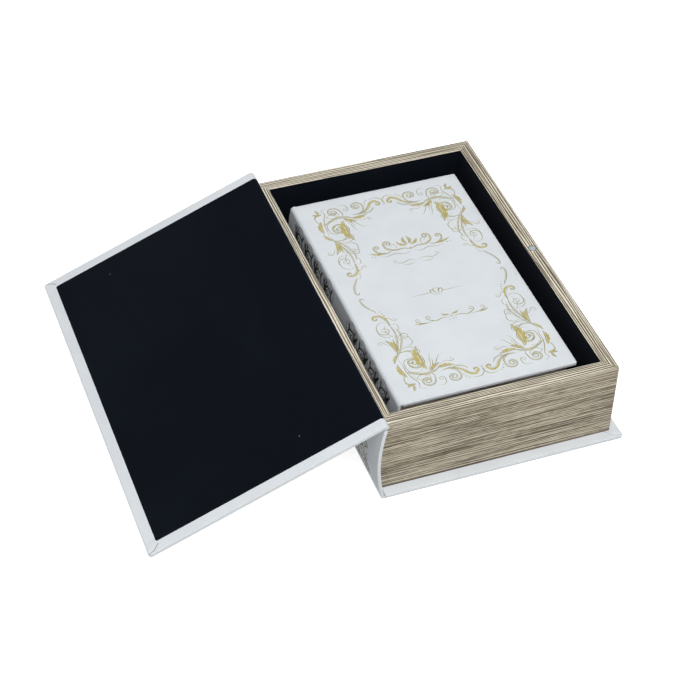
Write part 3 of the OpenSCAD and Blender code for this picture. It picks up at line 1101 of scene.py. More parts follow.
def rounded_board(node: str, box: BoxSizes, name: str) -> bpy.types.Object:
    """Copies a lid's board with its inner edge at the joint rounded over.

    Args:
        node: the board's name.
        box: the sizes of its box.
        name: the new piece's name.

    Returns:
        The new piece.
    """
    shape = solid_shape(node)
    into_lid = box.lid_place().inverted()
    near = 0.1 * MM

    def at_joint(corner: bmesh.types.BMVert) -> bool:
        """Whether a corner lies on the inner face, at the joint."""
        place = into_lid @ corner.co
        return place.x < box.leather_t + near and place.z > box.board_level - near

    inner = [edge for edge in shape.edges if all(at_joint(corner) for corner in edge.verts)]
    bmesh.ops.bevel(shape, geom=inner, offset=box.board_level - box.leather_t - 2 * near, segments=8,
                    profile=0.5, affect="EDGES")
    return dressed(finished(shape, name), FIBREBOARD)


@dataclass(frozen=True)
class CoverSkin:
    """Leatherette round a cover board: its outer face, its edges, and flaps turned in over three."""

    box: BoxSizes
    flap: float
    rounds_over: bool = False
    outer_radius: float = 0.8 * MM
    inner_radius: float = 0.65 * MM
    corner_radius: float = 1.6 * MM
    ring_step: float = 0.4 * MM
    face_inset: float = 3.2 * MM
    corner_reach: float = 9.0 * MM
    corner_grid: float = 0.4 * MM
    middle_grid: Point = (12 * MM, 14 * MM)
    fold_rise: float = 0.2 * MM
    fold_depth: float = 0.26 * MM
    fold_width: float = 0.34 * MM
    # how dark the painted shade along the mitred fold is
    fold_shade: float = 1.0
    tip_tuck: float = 0.35 * MM
    round_steps: int = 5

    def fold(self) -> list[Point]:
        """The line of a mitred fold, as distances in from the fore edge and from the end of the cover."""
        return [(self.flap + 1.9 * MM, self.flap - 1.1 * MM), (self.flap * 0.6, 1.8 * MM),
                (1.9 * MM, 1.0 * MM), (-0.5 * MM, 0.8 * MM)]

    def fold_side(self, u: float, v: float) -> Point:
        """How far a place on the flaps is from the fold.

        Args:
            u: the distance in from the fore edge.
            v: the distance in from the end of the cover.

        Returns:
            The distance from the line, and the same with a minus sign on the end flap's side.
        """
        best, side = 1.0, 1.0
        line = self.fold()
        for (u0, v0), (u1, v1) in zip(line, line[1:]):
            du, dv = u1 - u0, v1 - v0
            share = min(max(((u - u0) * du + (v - v0) * dv) / (du * du + dv * dv), 0.0), 1.0)
            away = math.hypot(u - u0 - share * du, v - v0 - share * dv)
            if away < best:
                best, side = away, (1.0 if du * (v - v0) - dv * (u - u0) < 0 else -1.0)
        return best, side * best

    def dress_corners(self, surface: Surface) -> None:
        """Raises the fore edge flap over the end flaps, sinks the fold between them, paints shade along it
        and tucks the tips.
        """
        box = self.box
        for place, point in enumerate(surface.points):
            u, v = box.cover_w - point.x, box.half_l - abs(point.y)
            if point.z < box.cover_t * 0.55 or u > self.flap + 1 * MM or v > self.flap + 1 * MM:
                continue
            near, side = self.fold_side(u, v)
            fade = 1 - smooth_step(3.5 * MM, 8.0 * MM, near)
            face = smooth_step(box.cover_t * 0.6, box.cover_t - self.leather_step(), point.z)
            lift = self.fold_rise * smooth_step(-0.1 * MM, 0.25 * MM, side) * fade
            sink = self.fold_depth * bell(near, self.fold_width)
            tuck = self.tip_tuck * bell(math.hypot(u - 1.0 * MM, v - 2.6 * MM), 1.1 * MM)
            point.z += (lift - sink + tuck) * face
            # painted shade along the fold
            surface.seam[place] = self.fold_shade * bell(near, self.fold_width * 0.9) * face

    def leather_step(self) -> float:
        """How far a flap's rounded edge falls."""
        return self.box.leather_t * 0.6

    def surface(self) -> Surface:
        """Builds the skin as it lies on its outer face, with the joint at X 0."""
        box = self.box
        half = box.half_l
        plan = Plan(
            (0.0, -half), (box.cover_w, half), (0.0, self.corner_radius, self.corner_radius, 0.0),
            *(spaced(length, coarse, self.corner_grid, self.corner_reach)
              for length, coarse in zip((box.cover_w, box.cover_l), self.middle_grid)),
        )
        skin = Surface()
        lap = box.leather_t
        rings = [skin.row((x, y, 0.0) for x, y in plan.outline(self.face_inset, 0.0))]
        for rise, inset in quarter_round(self.outer_radius, self.round_steps):
            rings.append(skin.row(((x, y, rise) for x, y in plan.outline(inset, 0.0)), 1.0))
        for inset, drop in quarter_round(self.inner_radius, self.round_steps):
            edge = plan.outline(inset, min(inset, lap))
            rings.append(skin.row(((x, y, box.cover_t - drop) for x, y in edge), 1.0))
        count = round((self.flap - self.inner_radius) / self.ring_step)
        for ring in range(1, count):
            inset = self.inner_radius + (self.flap - self.inner_radius) * ring / count
            rings.append(skin.row((x, y, box.cover_t) for x, y in plan.outline(inset, lap)))
        level = box.cover_t - self.leather_step() * 0.35
        eased = plan.outline(self.flap - 0.1 * MM, lap)
        rings.append(skin.row(((x, y, level) for x, y in eased), 0.6))
        rings.append(skin.row((x, y, box.board_level) for x, y in plan.outline(self.flap, lap)))
        skin.loft(rings, capped=False)
        plan.fill(skin, rings[0])
        skin.cap(rings[-1])
        self.dress_corners(skin)
        if self.rounds_over:
            self.round_over(skin)
        return skin

    def round_over(self, skin: Surface) -> None:
        """Rounds the lid's inner face down to the joint, and sinks the edge that the velvet covers."""
        box = self.box
        for point in skin.points:
            if point.x < box.leather_t + 0.02 * MM and abs(point.y) < box.half_l - self.flap - 0.01 * MM:
                point.z = min(point.z, box.board_level - 0.1 * MM)
            point.z *= box.lid_fall(point.x)


@dataclass(frozen=True)
class SpineSkin:
    """Leatherette over the spine, carried down through the lower joint to the base's underside."""

    box: BoxSizes
    end_radius: float = 0.9 * MM
    top_lap: float = 0.12 * MM
    inner_lap: float = 0.06 * MM
    joint_lap: float = 0.05 * MM
    near_end: tuple[float, ...] = (4 * MM, 8 * MM, 16 * MM)
    arc_steps: int = 28
    joint_steps: int = 7
    run_steps: int = 16

    def section(self) -> list[Point]:
        """The section from the joint at the base's underside, up the outside and down the inside."""
        box = self.box
        proud = box.spine_t + box.leather_t
        low, high = box.cover_t, box.rim_z + self.top_lap
        out = -box.spine_x(proud, low)
        turns = [math.pi / 2 * step / self.joint_steps for step in range(self.joint_steps)]
        below = [(-out * math.sin(turn), low * (1 - math.cos(turn))) for turn in turns]
        levels = [low + (high - low) * step / self.arc_steps for step in range(self.arc_steps + 1)]
        outside = [(box.spine_x(proud, z), z) for z in levels]
        inside = [(box.spine_x(-self.inner_lap, z), z) for z in reversed(levels)]
        return [*below, *outside, *inside, (-self.joint_lap, low * 0.6), (-self.joint_lap, low * 0.3)]

    def surface(self) -> Surface:
        """Builds the skin with rounded ends."""
        section = self.section()
        skin = Surface()
        rows = []
        for y, shrink in self.stations():
            ring = []
            for (x, z), (far_x, far_z) in zip(section, reversed(section)):
                to_middle = Vector((far_x - x, far_z - z)) / 2
                length = max(to_middle.length, 1e-9)
                moved = Vector((x, z)) + to_middle * (min(shrink, length * 0.8) / length)
                ring.append((moved.x, y, moved.y))
            rows.append(skin.row(ring, 1.0 if shrink > 0 else 0.0))
        skin.loft(rows)
        return skin

    def stations(self) -> list[Point]:
        """Where the section is repeated along Y, and how far it is drawn in there."""
        half = self.box.half_l
        rounded = [(inset - half, drop) for drop, inset in reversed(quarter_round(self.end_radius, 5))]
        near = [(place - half, 0.0) for place in self.near_end]
        span = half - self.near_end[-1]
        run = [(-span + 2 * span * step / self.run_steps, 0.0) for step in range(1, self.run_steps)]
        start = [*rounded, *near]
        return [*start, *run, *[(-y, drawn_in) for y, drawn_in in reversed(start)]]


def leftward(along: Vector) -> Vector:
    """The way to the left of a direction in a plane."""
    return Vector((-along.y, along.x))


def run_at(line: Sequence[Vector], place: int) -> Vector:
    """The way that a line runs at one of its points."""
    return (line[min(place + 1, len(line) - 1)] - line[max(place - 1, 0)]).normalized()


def catmull(route: Sequence[Vector], steps: int) -> list[Vector]:
    """A smooth line through points.

    Args:
        route: the points.
        steps: how many stretches lie between two of them.

    Returns:
        The line's points, with the first and the last of the route at its ends.
    """
    ends = [route[0] * 2 - route[1], *route, route[-1] * 2 - route[-2]]
    line: list[Vector] = []
    for p0, p1, p2, p3 in zip(ends, ends[1:], ends[2:], ends[3:]):
        for step in range(steps):
            t = step / steps
            line.append(0.5 * (2 * p1 + (p2 - p0) * t + (2 * p0 - 5 * p1 + 4 * p2 - p3) * t * t
                               + (3 * p1 - p0 - 3 * p2 + p3) * t**3))
    return [*line, route[-1].copy()]


@dataclass(frozen=True)
class LidJoint:
    """The strip of leatherette between the spine and a lid, which folds on the lid's joint."""

    box: BoxSizes
    open_thick: float = 0.8 * MM
    shut_thick: float = 1.7 * MM
    fold_thick: float = 0.4 * MM
    lap: float = 1.4 * MM
    tuck: float = 0.9 * MM
    proud: float = 0.03 * MM
    short_by: float = 0.1 * MM
    bends: tuple[float, ...] = (16.0, 45.0, 74.0)
    run_steps: int = 18

    @property
    def thick(self) -> float:
        """How thick the strip is, which is less where it lies folded."""
        return self.open_thick if self.box.open_angle else self.shut_thick

    def route(self) -> list[Vector]:
        """The middle of the strip, from inside the spine's top to inside the lid, in X and Z."""
        box = self.box
        proud = box.spine_t + box.leather_t + self.proud - self.thick / 2
        foot = Vector((box.spine_x(proud, box.rim_z - self.lap), box.rim_z - self.lap))
        start = Vector((box.spine_x(proud, box.rim_z), box.rim_z))
        pivot = Vector((0.0, box.pivot_z))
        if box.open_angle:
            shoulder = Vector((start.x * 0.5, box.rim_z + (box.pivot_z - box.rim_z) * 0.62))
            neck = pivot + Vector((-0.3, -0.4)) * MM
        else:
            level = box.pivot_z + self.proud - self.thick / 2
            up = level - box.rim_z
            turns = [math.radians(angle) for angle in self.bends]
            bends = [Vector((start.x * math.cos(turn), box.rim_z + up * math.sin(turn))) for turn in turns]
            inside = [Vector((place, level)) for place in (-0.3 * MM, 0.25 * MM, self.tuck)]
            return [foot, start, *bends, *inside]
        along = Vector((math.cos(box.open_angle), math.sin(box.open_angle)))
        above = -leftward(along)
        inside = [pivot + along * place + above * self.fold_thick * 0.6 for place in (0.15 * MM, self.tuck)]
        fold = pivot + Vector((-0.12, -0.08)) * MM
        return [foot, start, shoulder, neck, fold, *inside]

    def surface(self) -> Surface:
        """Builds the strip along the whole cover."""
        box = self.box
        line = catmull(self.route(), 4)
        left, right = [], []
        for place, point in enumerate(line):
            share = place / (len(line) - 1) if box.open_angle else 0.0
            thick = self.thick + (self.fold_thick - self.thick) * share
            across = leftward(run_at(line, place)) * thick / 2
            left.append(point + across)
            right.append(point - across)
        skin = Surface()
        rows = []
        reach = box.half_l - self.short_by
        for step in range(self.run_steps + 1):
            y = -reach + 2 * reach * step / self.run_steps
            edge = 1.0 if step in (0, self.run_steps) else 0.0
            rows.append(skin.row(((point.x, y, point.y) for point in (*left, *reversed(right))), edge))
        skin.loft(rows)
        return skin

    def blend_line(self) -> tuple[Vector, Vector]:
        """The short line across the fold along which the strip passes from the tray to the lid."""
        box = self.box
        pivot = box.box_place() @ Vector((0.0, 0.0, box.pivot_z))
        across = Vector((-0.41, 0.0, 0.91)) if box.open_angle else Vector((1.0, 0.0, 0.0))
        reach = across * 0.12 * MM
        return pivot - reach, pivot + reach


@dataclass(frozen=True)
class VelvetWork:
    """The velvet of one box: on the floor, on the four walls and inside the lid."""

    box: BoxSizes
    face_swell: float = 0.05 * MM
    corner_radius: float = 1.4 * MM
    magnet_swell: float = 0.22 * MM
    floor_gap: float = 0.1 * MM
    floor_edge: float = 0.15 * MM
    lining_edge: float = 0.18 * MM
    lid_edge: float = 0.3 * MM

    @staticmethod
    def grid(low: Point, high: Point) -> Plan:
        """A square-cornered panel with an even grid."""
        cuts = (spaced(end - start, 8 * MM, 1 * MM, 2 * MM) for start, end in zip(low, high))
        return Plan(low, high, SQUARE_CORNERS, *cuts)

    def floor(self) -> bpy.types.Object:
        """Makes the velvet on the floor."""
        box = self.box
        reach = box.hollow_half_l - self.floor_gap
        plan = self.grid((box.hollow_x0 + self.floor_gap, -reach), (box.hollow_x1 - self.floor_gap, reach))
        surface = soft_panel(plan, box.velvet_t, self.floor_edge, self.swell)
        place = box.box_place() @ Matrix.Translation((0.0, 0.0, box.floor_z - box.velvet_t))
        return surface.piece(f"{box.prefix}floor_cloth", VELVET, place)

    def swell(self, x: float, y: float, layer: float = 0.3, reach: float = 14 * MM) -> float:
        """How unevenly a glued face of velvet lies.

        Args:
            x: the place along the face.
            y: the place across it.
            layer: which layer of the noise it reads.
            reach: how far apart its swells lie.

        Returns:
            How far the face stands out.
        """
        return self.face_swell * noise.noise(Vector((x, y, layer)) / reach)

    def lining(self, side: Side) -> bpy.types.Object:
        """Makes the velvet on one wall.

        Args:
            side: which wall.

        Returns:
            The new piece.
        """
        box = self.box
        tall = box.rim_z - box.lining_drop - box.floor_z
        sign = 1.0 if side in (Side.HEAD, Side.FORE_EDGE) else -1.0
        if side in ENDS:
            long = box.hollow_x1 - box.hollow_x0
            origin = Vector((box.hollow_x0, sign * box.hollow_half_l, box.floor_z))
            along, out = Vector((1.0, 0.0, 0.0)), Vector((0.0, -sign, 0.0))
        else:
            long = 2 * (box.hollow_half_l - box.lining_t)
            wall_x = box.hollow_x1 if side is Side.FORE_EDGE else box.hollow_x0
            origin = Vector((wall_x, -long / 2, box.floor_z))
            along, out = Vector((0.0, 1.0, 0.0)), Vector((-sign, 0.0, 0.0))
        plan = self.grid((0.0, 0.0), (long, tall))
        surface = soft_panel(plan, box.lining_t, self.lining_edge,
                             lambda x, y: self.swell(x, y, 5.0, 17 * MM))
        turned = Matrix((along, Vector((0.0, 0.0, 1.0)), out)).transposed().to_4x4()
        place = box.box_place() @ Matrix.Translation(origin) @ turned
        return surface.piece(f"{box.prefix}{side.value}_lining_cloth", VELVET, place)

    def lid(self) -> bpy.types.Object:
        """Makes the velvet panel inside the lid, which swells over the hidden magnet."""
        box = self.box
        wide, reach = box.cover_w - box.lid_margin, box.half_l - box.lid_margin
        plan = Plan((0.0, -reach), (wide, reach), (0.0, self.corner_radius, self.corner_radius, 0.0),
                    spaced(wide, 5 * MM, 0.5 * MM, 16.8 * MM), spaced(2 * reach, 5 * MM, 2 * MM, 4 * MM))
        magnet = Vector((box.magnet_x, 0.0))

        def swell(x: float, y: float) -> float:
            """The glued face's unevenness, and the swell over the magnet."""
            away = (Vector((x, y)) - magnet).length
            over = smooth_step(box.lid_magnet_d * 0.72, box.lid_magnet_d * 0.42, away)
            return self.swell(x, y) + self.magnet_swell * over

        surface = soft_panel(plan, box.velvet_t, self.lid_edge, swell, box.joint_edge)
        for point in surface.points:
            point.z = (box.board_level + point.z) * box.lid_fall(point.x) - box.board_level
        place = box.lid_place() @ Matrix.Translation((0.0, 0.0, box.board_level))
        return surface.piece(f"{box.prefix}lid_cloth", VELVET, place)


@dataclass(frozen=True)
class MagnetDisc:
    """A plated magnet with eased edges, whose rim is marked for painted shade, and a slightly hollow face."""

    diameter: float
    thick: float
    ease: float = 0.5 * MM
    dish: float = 0.04 * MM
    sides: int = 56

    def surface(self) -> Surface:
        """Builds the disc on its back, with its face at its thickness."""
        radius = self.diameter / 2
        profile = [(radius - self.ease, 0.0), (radius, self.ease)]
        profile += [(radius - inset, self.thick - drop) for inset, drop in quarter_round(self.ease, 3)]
        profile += [(radius * 0.6, self.thick - self.dish * 0.6), (radius * 0.25, self.thick - self.dish)]
        disc = Surface()
        rows = []
        for reach, height in profile:
            angles = [2 * math.pi * side / self.sides for side in range(self.sides)]
            # the rounded rim is marked for the dark rubbed colour, which is painted shade
            worn = 1.0 if reach > radius - self.ease * 1.01 else 0.0
            circle = ((reach * math.cos(a), reach * math.sin(a), height) for a in angles)
            rows.append(disc.row(circle, worn))
        disc.loft(rows)
        return disc


@dataclass(frozen=True)
class Curl:
    """A volute that a vine runs into: it winds to the left for positive turns while it closes in."""

    radius: float
    end: float
    turns: float


@dataclass(frozen=True)
class Vine:
    """A line of foil that swells and tapers, through points in millimetres, and may end in a curl."""

    route: tuple[Point, ...]
    width: float
    curl: Curl | None = None
    bulb: float = 0.0
    peak: float = 0.5
    echo: float = 0.0
    hairline: float = 0.36

    def line(self) -> list[Vector]:
        """The vine's middle line."""
        points = catmull([Vector(point) for point in self.route], 7)
        if self.curl is None:
            return points
        curl = self.curl
        along = (points[-1] - points[-2]).normalized() * math.copysign(curl.radius, curl.turns)
        start = Vector((along.y, -along.x))
        centre = points[-1] - start
        angle = math.atan2(start.y, start.x)
        count = max(6, round(abs(curl.turns) * 26))
        for step in range(1, count + 1):
            share = step / count
            reach = curl.radius * (curl.end / curl.radius) ** share
            turn = angle + 2 * math.pi * curl.turns * share
            points.append(centre + Vector((math.cos(turn), math.sin(turn))) * reach)
        return points

    def strips(self) -> list[Strip]:
        """The left and right edges of the foil along the vine, and of the hairline beside it."""
        line = self.line()
        lengths = [0.0]
        for first, second in zip(line, line[1:]):
            lengths.append(lengths[-1] + (second - first).length)
        made: Strip = []
        beside: Strip = []
        for place, point in enumerate(line):
            share = lengths[place] / lengths[-1]
            rising = share / self.peak if share < self.peak else (1 - share) / (1 - self.peak)
            wide = self.width * (0.22 + 0.78 * math.sin(math.pi / 2 * min(max(rising, 0.0), 1.0)) ** 1.2)
            wide += self.bulb * bell(1 - share, 0.05)
            side = leftward(run_at(line, place))
            made.append((point + side * wide / 2, point - side * wide / 2))
            gap = math.copysign(wide / 2, self.echo) + self.echo * math.sin(math.pi * share) ** 0.6
            fine = self.hairline / 2
            beside.append((point + side * (gap + fine), point + side * (gap - fine)))
        return [made, beside[2:-2]] if self.echo else [made]


@dataclass(frozen=True)
class Leaf:
    """A scrolled leaf of foil: a bent midrib between a lobed blade and a plain one."""

    base: Point
    tip: Point
    bend: float
    width: float
    lobes: int = 4
    steps_per_lobe: int = 6

    def strips(self) -> list[Strip]:
        """The edges of the two blades, which the bare midrib parts."""
        base, tip = Vector(self.base), Vector(self.tip)
        chord = tip - base
        crown = (base + tip) / 2 + leftward(chord).normalized() * self.bend * 2
        count = self.lobes * self.steps_per_lobe
        sign = 1.0 if self.bend >= 0 else -1.0
        lobed, plain = [], []
        for step in range(count + 1):
            t = step / count
            middle = base * (1 - t) ** 2 + crown * 2 * t * (1 - t) + tip * t * t
            along = ((crown - base) * (1 - t) + (tip - crown) * t).normalized()
            across = leftward(along) * sign
            body = math.sin(math.pi * min(t * 0.96 + 0.02, 1.0) ** 0.85)
            lobe = (t * self.lobes) % 1.0
            outer = self.width * 0.74 * body * (0.42 + 0.58 * math.sin(1.9 * lobe))
            rib = across * self.width * 0.035
            lobed.append((middle + across * outer + along * outer * 0.75 * lobe, middle + rib))
            plain.append((middle - rib, middle - across * self.width * 0.3 * body))
        return [lobed, plain]


@dataclass(frozen=True)
class Bead:
    """A round dot of foil."""

    centre: Point
    radius: float
    steps: int = 8

    def strips(self) -> list[Strip]:
        """The edges of the dot, from one side to the other."""
        centre = Vector(self.centre)
        made = []
        for step in range(self.steps + 1):
            angle = math.pi * step / self.steps
            x, y = -math.cos(angle) * self.radius, max(math.sin(angle), 0.05) * self.radius
            made.append((centre + Vector((x, y)), centre + Vector((x, -y))))
        return [made]


Motif = Vine | Leaf | Bead


def repeated(motifs: Iterable[Motif], flips: Iterable[Point], shift: Point = (0.0, 0.0)) -> list[Strip]:
    """Lays motifs out several times, mirrored.

    Args:
        motifs: the motifs, as they are drawn once.
        flips: the signs of X and Y in each copy.
        shift: how far the motifs are moved before they are mirrored.

    Returns:
        The strips of every copy.
    """
    made = []
    for motif in motifs:
        for strip in motif.strips():
            for to_x, to_y in flips:
                made.append([tuple(Vector(((p.x + shift[0]) * to_x, (p.y + shift[1]) * to_y)) for p in pair)
                             for pair in strip])
    return made


class Ornament:
    """The scrolled designs in foil. One quarter is drawn, in millimetres out from a design's middle."""

    QUARTERS: tuple[Point, ...] = ((1.0, 1.0), (-1.0, 1.0), (1.0, -1.0), (-1.0, -1.0))
    HALVES: tuple[Point, ...] = QUARTERS[:2]
    COLUMN: tuple[Motif, ...] = (
        Vine(((50.4, 4.6), (51.2, 2.4), (53.0, 2.4), (53.6, 5.6), (52.2, 10.8), (49.2, 15.8),
              (46.4, 19.6)), 0.6, echo=0.6),
        Vine(((42.8, 35.0), (42.8, 29.8), (44.0, 25.2), (46.6, 22.2), (49.8, 21.8)), 1.3,
             Curl(2.8, 0.8, 0.85), 0.6, echo=0.6),
        Vine(((43.0, 33.0), (42.0, 40.5), (43.4, 49.0), (46.6, 57.6), (49.8, 66.0)), 0.7, echo=-0.6),
        Vine(((40.6, 36.0), (39.6, 44.0), (41.8, 51.0), (45.0, 57.2), (48.4, 63.0)), 0.55, echo=0.6),
        Vine(((43.4, 31.6), (47.6, 29.0), (52.0, 31.6), (53.0, 36.6)), 0.55, Curl(4.8, 1.2, 1.35), 0.5),
        Vine(((44.4, 43.6), (49.4, 43.8), (52.8, 40.2), (53.4, 34.6)), 0.45),
        Leaf((48.2, 60.0), (51.8, 46.4), -1.6, 3.4, 4),
        Leaf((45.4, 57.8), (45.6, 46.2), 0.7, 1.8, 4),
        Vine(((41.8, 49.6), (41.6, 45.8), (39.6, 43.8)), 0.5, Curl(3.5, 0.8, -1.1), 0.4),
        Vine(((42.0, 55.0), (37.6, 55.8), (34.4, 52.8), (34.8, 48.2)), 0.5, Curl(2.5, 0.9, 0.6), 0.3),
        Vine(((40.8, 39.8), (38.2, 37.6), (38.6, 33.4), (41.6, 32.0)), 0.45),
        Vine(((43.8, 57.4), (40.4, 60.2), (37.0, 60.4)), 0.4, Curl(2.6, 0.7, -1.2), 0.3),
        Vine(((44.8, 27.4), (41.2, 26.2), (39.2, 29.2)), 0.4, Curl(1.9, 0.5, 1.1), 0.2),
        Vine(((46.2, 50.2), (50.6, 51.4), (53.6, 47.6)), 0.4, Curl(2.4, 0.6, 1.2), 0.3),
        Vine(((43.4, 46.8), (46.8, 41.6), (47.6, 36.4), (45.8, 31.6)), 0.4),
        Bead((44.6, 18.4), 0.45), Bead((43.8, 20.6), 0.55), Bead((43.2, 23.0), 0.6), Bead((42.8, 25.6), 0.5),
    )
    CORNER: tuple[Motif, ...] = (
        Leaf((48.4, 61.6), (53.2, 69.6), -0.6, 2.4, 3),
        Leaf((49.8, 83.8), (51.8, 70.2), 1.2, 3.4, 5),
        Vine(((49.8, 66.0), (49.0, 73.0), (48.8, 79.5), (46.8, 86.0), (44.8, 91.0), (45.8, 95.2),
              (42.0, 97.2)), 0.6),
        Vine(((48.0, 60.4), (41.6, 60.0), (36.4, 63.2), (33.8, 69.4)), 0.7, Curl(7.3, 1.4, -1.75), 0.7,
             echo=-0.7),
        Vine(((36.6, 78.8), (42.0, 81.6), (47.4, 78.0), (47.6, 70.8)), 0.5, Curl(4.8, 1.2, -0.9), 0.4),
        Vine(((40.4, 66.4), (38.4, 69.2), (38.2, 73.0), (40.2, 76.6)), 1.0),
        Vine(((47.4, 59.0), (42.0, 57.0), (36.8, 57.6), (33.6, 61.0)), 0.5, Curl(3.1, 0.8, -0.95), 0.4),
        Leaf((34.6, 80.6), (33.4, 57.2), 2.4, 5.4, 6),
        Vine(((35.2, 82.6), (31.0, 79.0), (28.8, 74.6), (28.6, 70.6)), 0.5),
        Vine(((49.6, 78.4), (45.2, 81.8), (38.4, 84.2), (31.2, 83.8), (26.4, 81.0)), 1.0, echo=0.6),
        Leaf((33.4, 83.4), (25.0, 77.4), 0.9, 3.0, 3),
        Leaf((28.4, 81.4), (15.8, 82.6), 0.9, 3.2, 4),
        Vine(((31.6, 82.2), (28.0, 77.4), (25.2, 73.2), (22.8, 69.8), (20.8, 70.4)), 0.5),
        Vine(((33.8, 81.4), (31.0, 76.2), (29.8, 70.6), (27.6, 66.4)), 0.45),
        Vine(((33.4, 84.2), (32.2, 87.6), (33.2, 92.2)), 0.6, Curl(5.4, 1.3, -1.8), 0.6, echo=-0.6),
        Vine(((32.4, 85.0), (36.4, 85.4), (41.6, 84.4), (45.6, 88.2)), 0.45),
        Vine(((49.8, 79.2), (52.8, 84.4), (52.8, 89.0), (49.8, 91.6)), 0.55),
        Leaf((46.8, 91.2), (53.4, 92.8), -0.4, 2.4, 2), Leaf((49.0, 91.6), (50.8, 97.0), 0.3, 2.0, 2),
        Leaf((49.6, 91.6), (53.4, 87.8), 0.3, 1.6, 2),
        Vine(((33.2, 96.2), (30.6, 97.4), (27.6, 95.8), (26.8, 92.2)), 0.5, Curl(2.4, 0.7, 1.1), 0.4),
        Vine(((27.4, 84.6), (21.4, 84.0), (16.6, 86.8), (15.4, 91.4)), 0.6, Curl(5.2, 1.2, -1.8), 0.6,
             echo=-0.6),
        Vine(((23.6, 83.6), (18.0, 84.8), (13.4, 88.2), (10.2, 92.6), (6.4, 94.4), (3.4, 92.2)), 1.5,
             Curl(2.4, 0.8, 0.8), 0.6, 0.66, 0.6),
        Vine(((9.4, 96.8), (3.8, 97.4), (0.3, 94.0), (-0.4, 90.0), (1.6, 87.6)), 0.55),
        Vine(((43.8, 64.6), (39.6, 62.6), (35.6, 66.0), (35.0, 71.0)), 0.4, Curl(5.6, 3.6, -1.1)),
        Vine(((46.4, 82.8), (43.4, 88.2), (38.4, 90.2)), 0.4, Curl(2.8, 0.8, 1.15), 0.3),
        Vine(((25.8, 79.2), (21.2, 76.6), (16.8, 78.0)), 0.4, Curl(1.9, 0.6, 1.1), 0.3),
        Vine(((20.2, 86.4), (15.6, 83.8), (11.2, 85.4), (8.8, 88.8)), 0.4, echo=0.5),
        Bead((14.0, 92.6), 0.45), Bead((13.0, 94.8), 0.55), Bead((11.4, 96.6), 0.45),
    )
    CENTREPIECE: tuple[Motif, ...] = (
        Leaf((0.5, 41.6), (1.0, 50.4), -1.1, 2.6, 4),
        Leaf((1.2, 41.0), (7.6, 46.8), -0.9, 2.4, 4),
        Vine(((0.4, 36.4), (5.0, 38.4), (11.4, 38.2), (16.8, 41.6), (17.6, 46.0)), 0.9,
             Curl(3.5, 0.8, 1.3), 0.7, echo=0.55),
        Vine(((10.2, 38.4), (9.2, 41.4), (10.4, 44.6)), 0.5, Curl(2.2, 0.5, -0.8), 0.3),
        Vine(((13.0, 38.6), (18.6, 36.6), (24.0, 39.4), (25.6, 43.2)), 0.7, Curl(3.0, 0.7, 1.2), 0.5,
             echo=0.5),
        Leaf((17.8, 37.2), (30.2, 40.2), -0.8, 2.2, 4),
        Vine(((1.0, 34.2), (6.4, 33.0), (12.4, 35.0), (18.4, 33.8), (23.6, 34.6)), 0.55),
        Bead((0.0, 37.4), 0.9), Bead((27.0, 35.6), 0.5), Bead((29.2, 36.0), 0.4),
        Vine(((0.6, 23.6), (5.4, 25.8), (11.2, 24.0), (16.0, 25.8)), 0.5, Curl(1.8, 0.5, 0.8), 0.3),
        Vine(((2.6, 22.0), (7.0, 21.2), (11.6, 22.4)), 0.4),
    )
    KNOT: tuple[Motif, ...] = (
        Vine(((4.2, -11.2), (11.0, -11.1), (18.6, -11.2)), 0.45, None, 0.0, 0.15),
        Vine(((0.5, -14.8), (1.2, -11.6), (2.6, -8.8), (4.0, -8.8), (4.3, -11.0), (3.0, -12.6),
              (2.0, -14.6)), 0.7),
        Vine(((0.3, -8.0), (1.2, -7.4), (1.9, -9.2), (0.6, -11.2)), 0.55),
    )
    TAILPIECE: tuple[Motif, ...] = (
        Leaf((0.6, -35.2), (6.4, -33.2), -0.5, 1.7, 3),
        Vine(((0.4, -38.4), (6.0, -37.2), (11.6, -38.6), (16.4, -36.2)), 0.7, Curl(2.4, 0.6, 1.1), 0.5),
        Vine(((12.6, -38.2), (18.6, -39.0), (24.0, -36.8)), 0.6, Curl(2.2, 0.5, 1.05), 0.4),
        Leaf((18.4, -38.6), (27.0, -37.4), -0.5, 1.5, 3),
        Bead((0.0, -36.8), 0.7), Bead((0.0, -40.4), 0.4), Bead((2.2, -40.2), 0.35),
    )
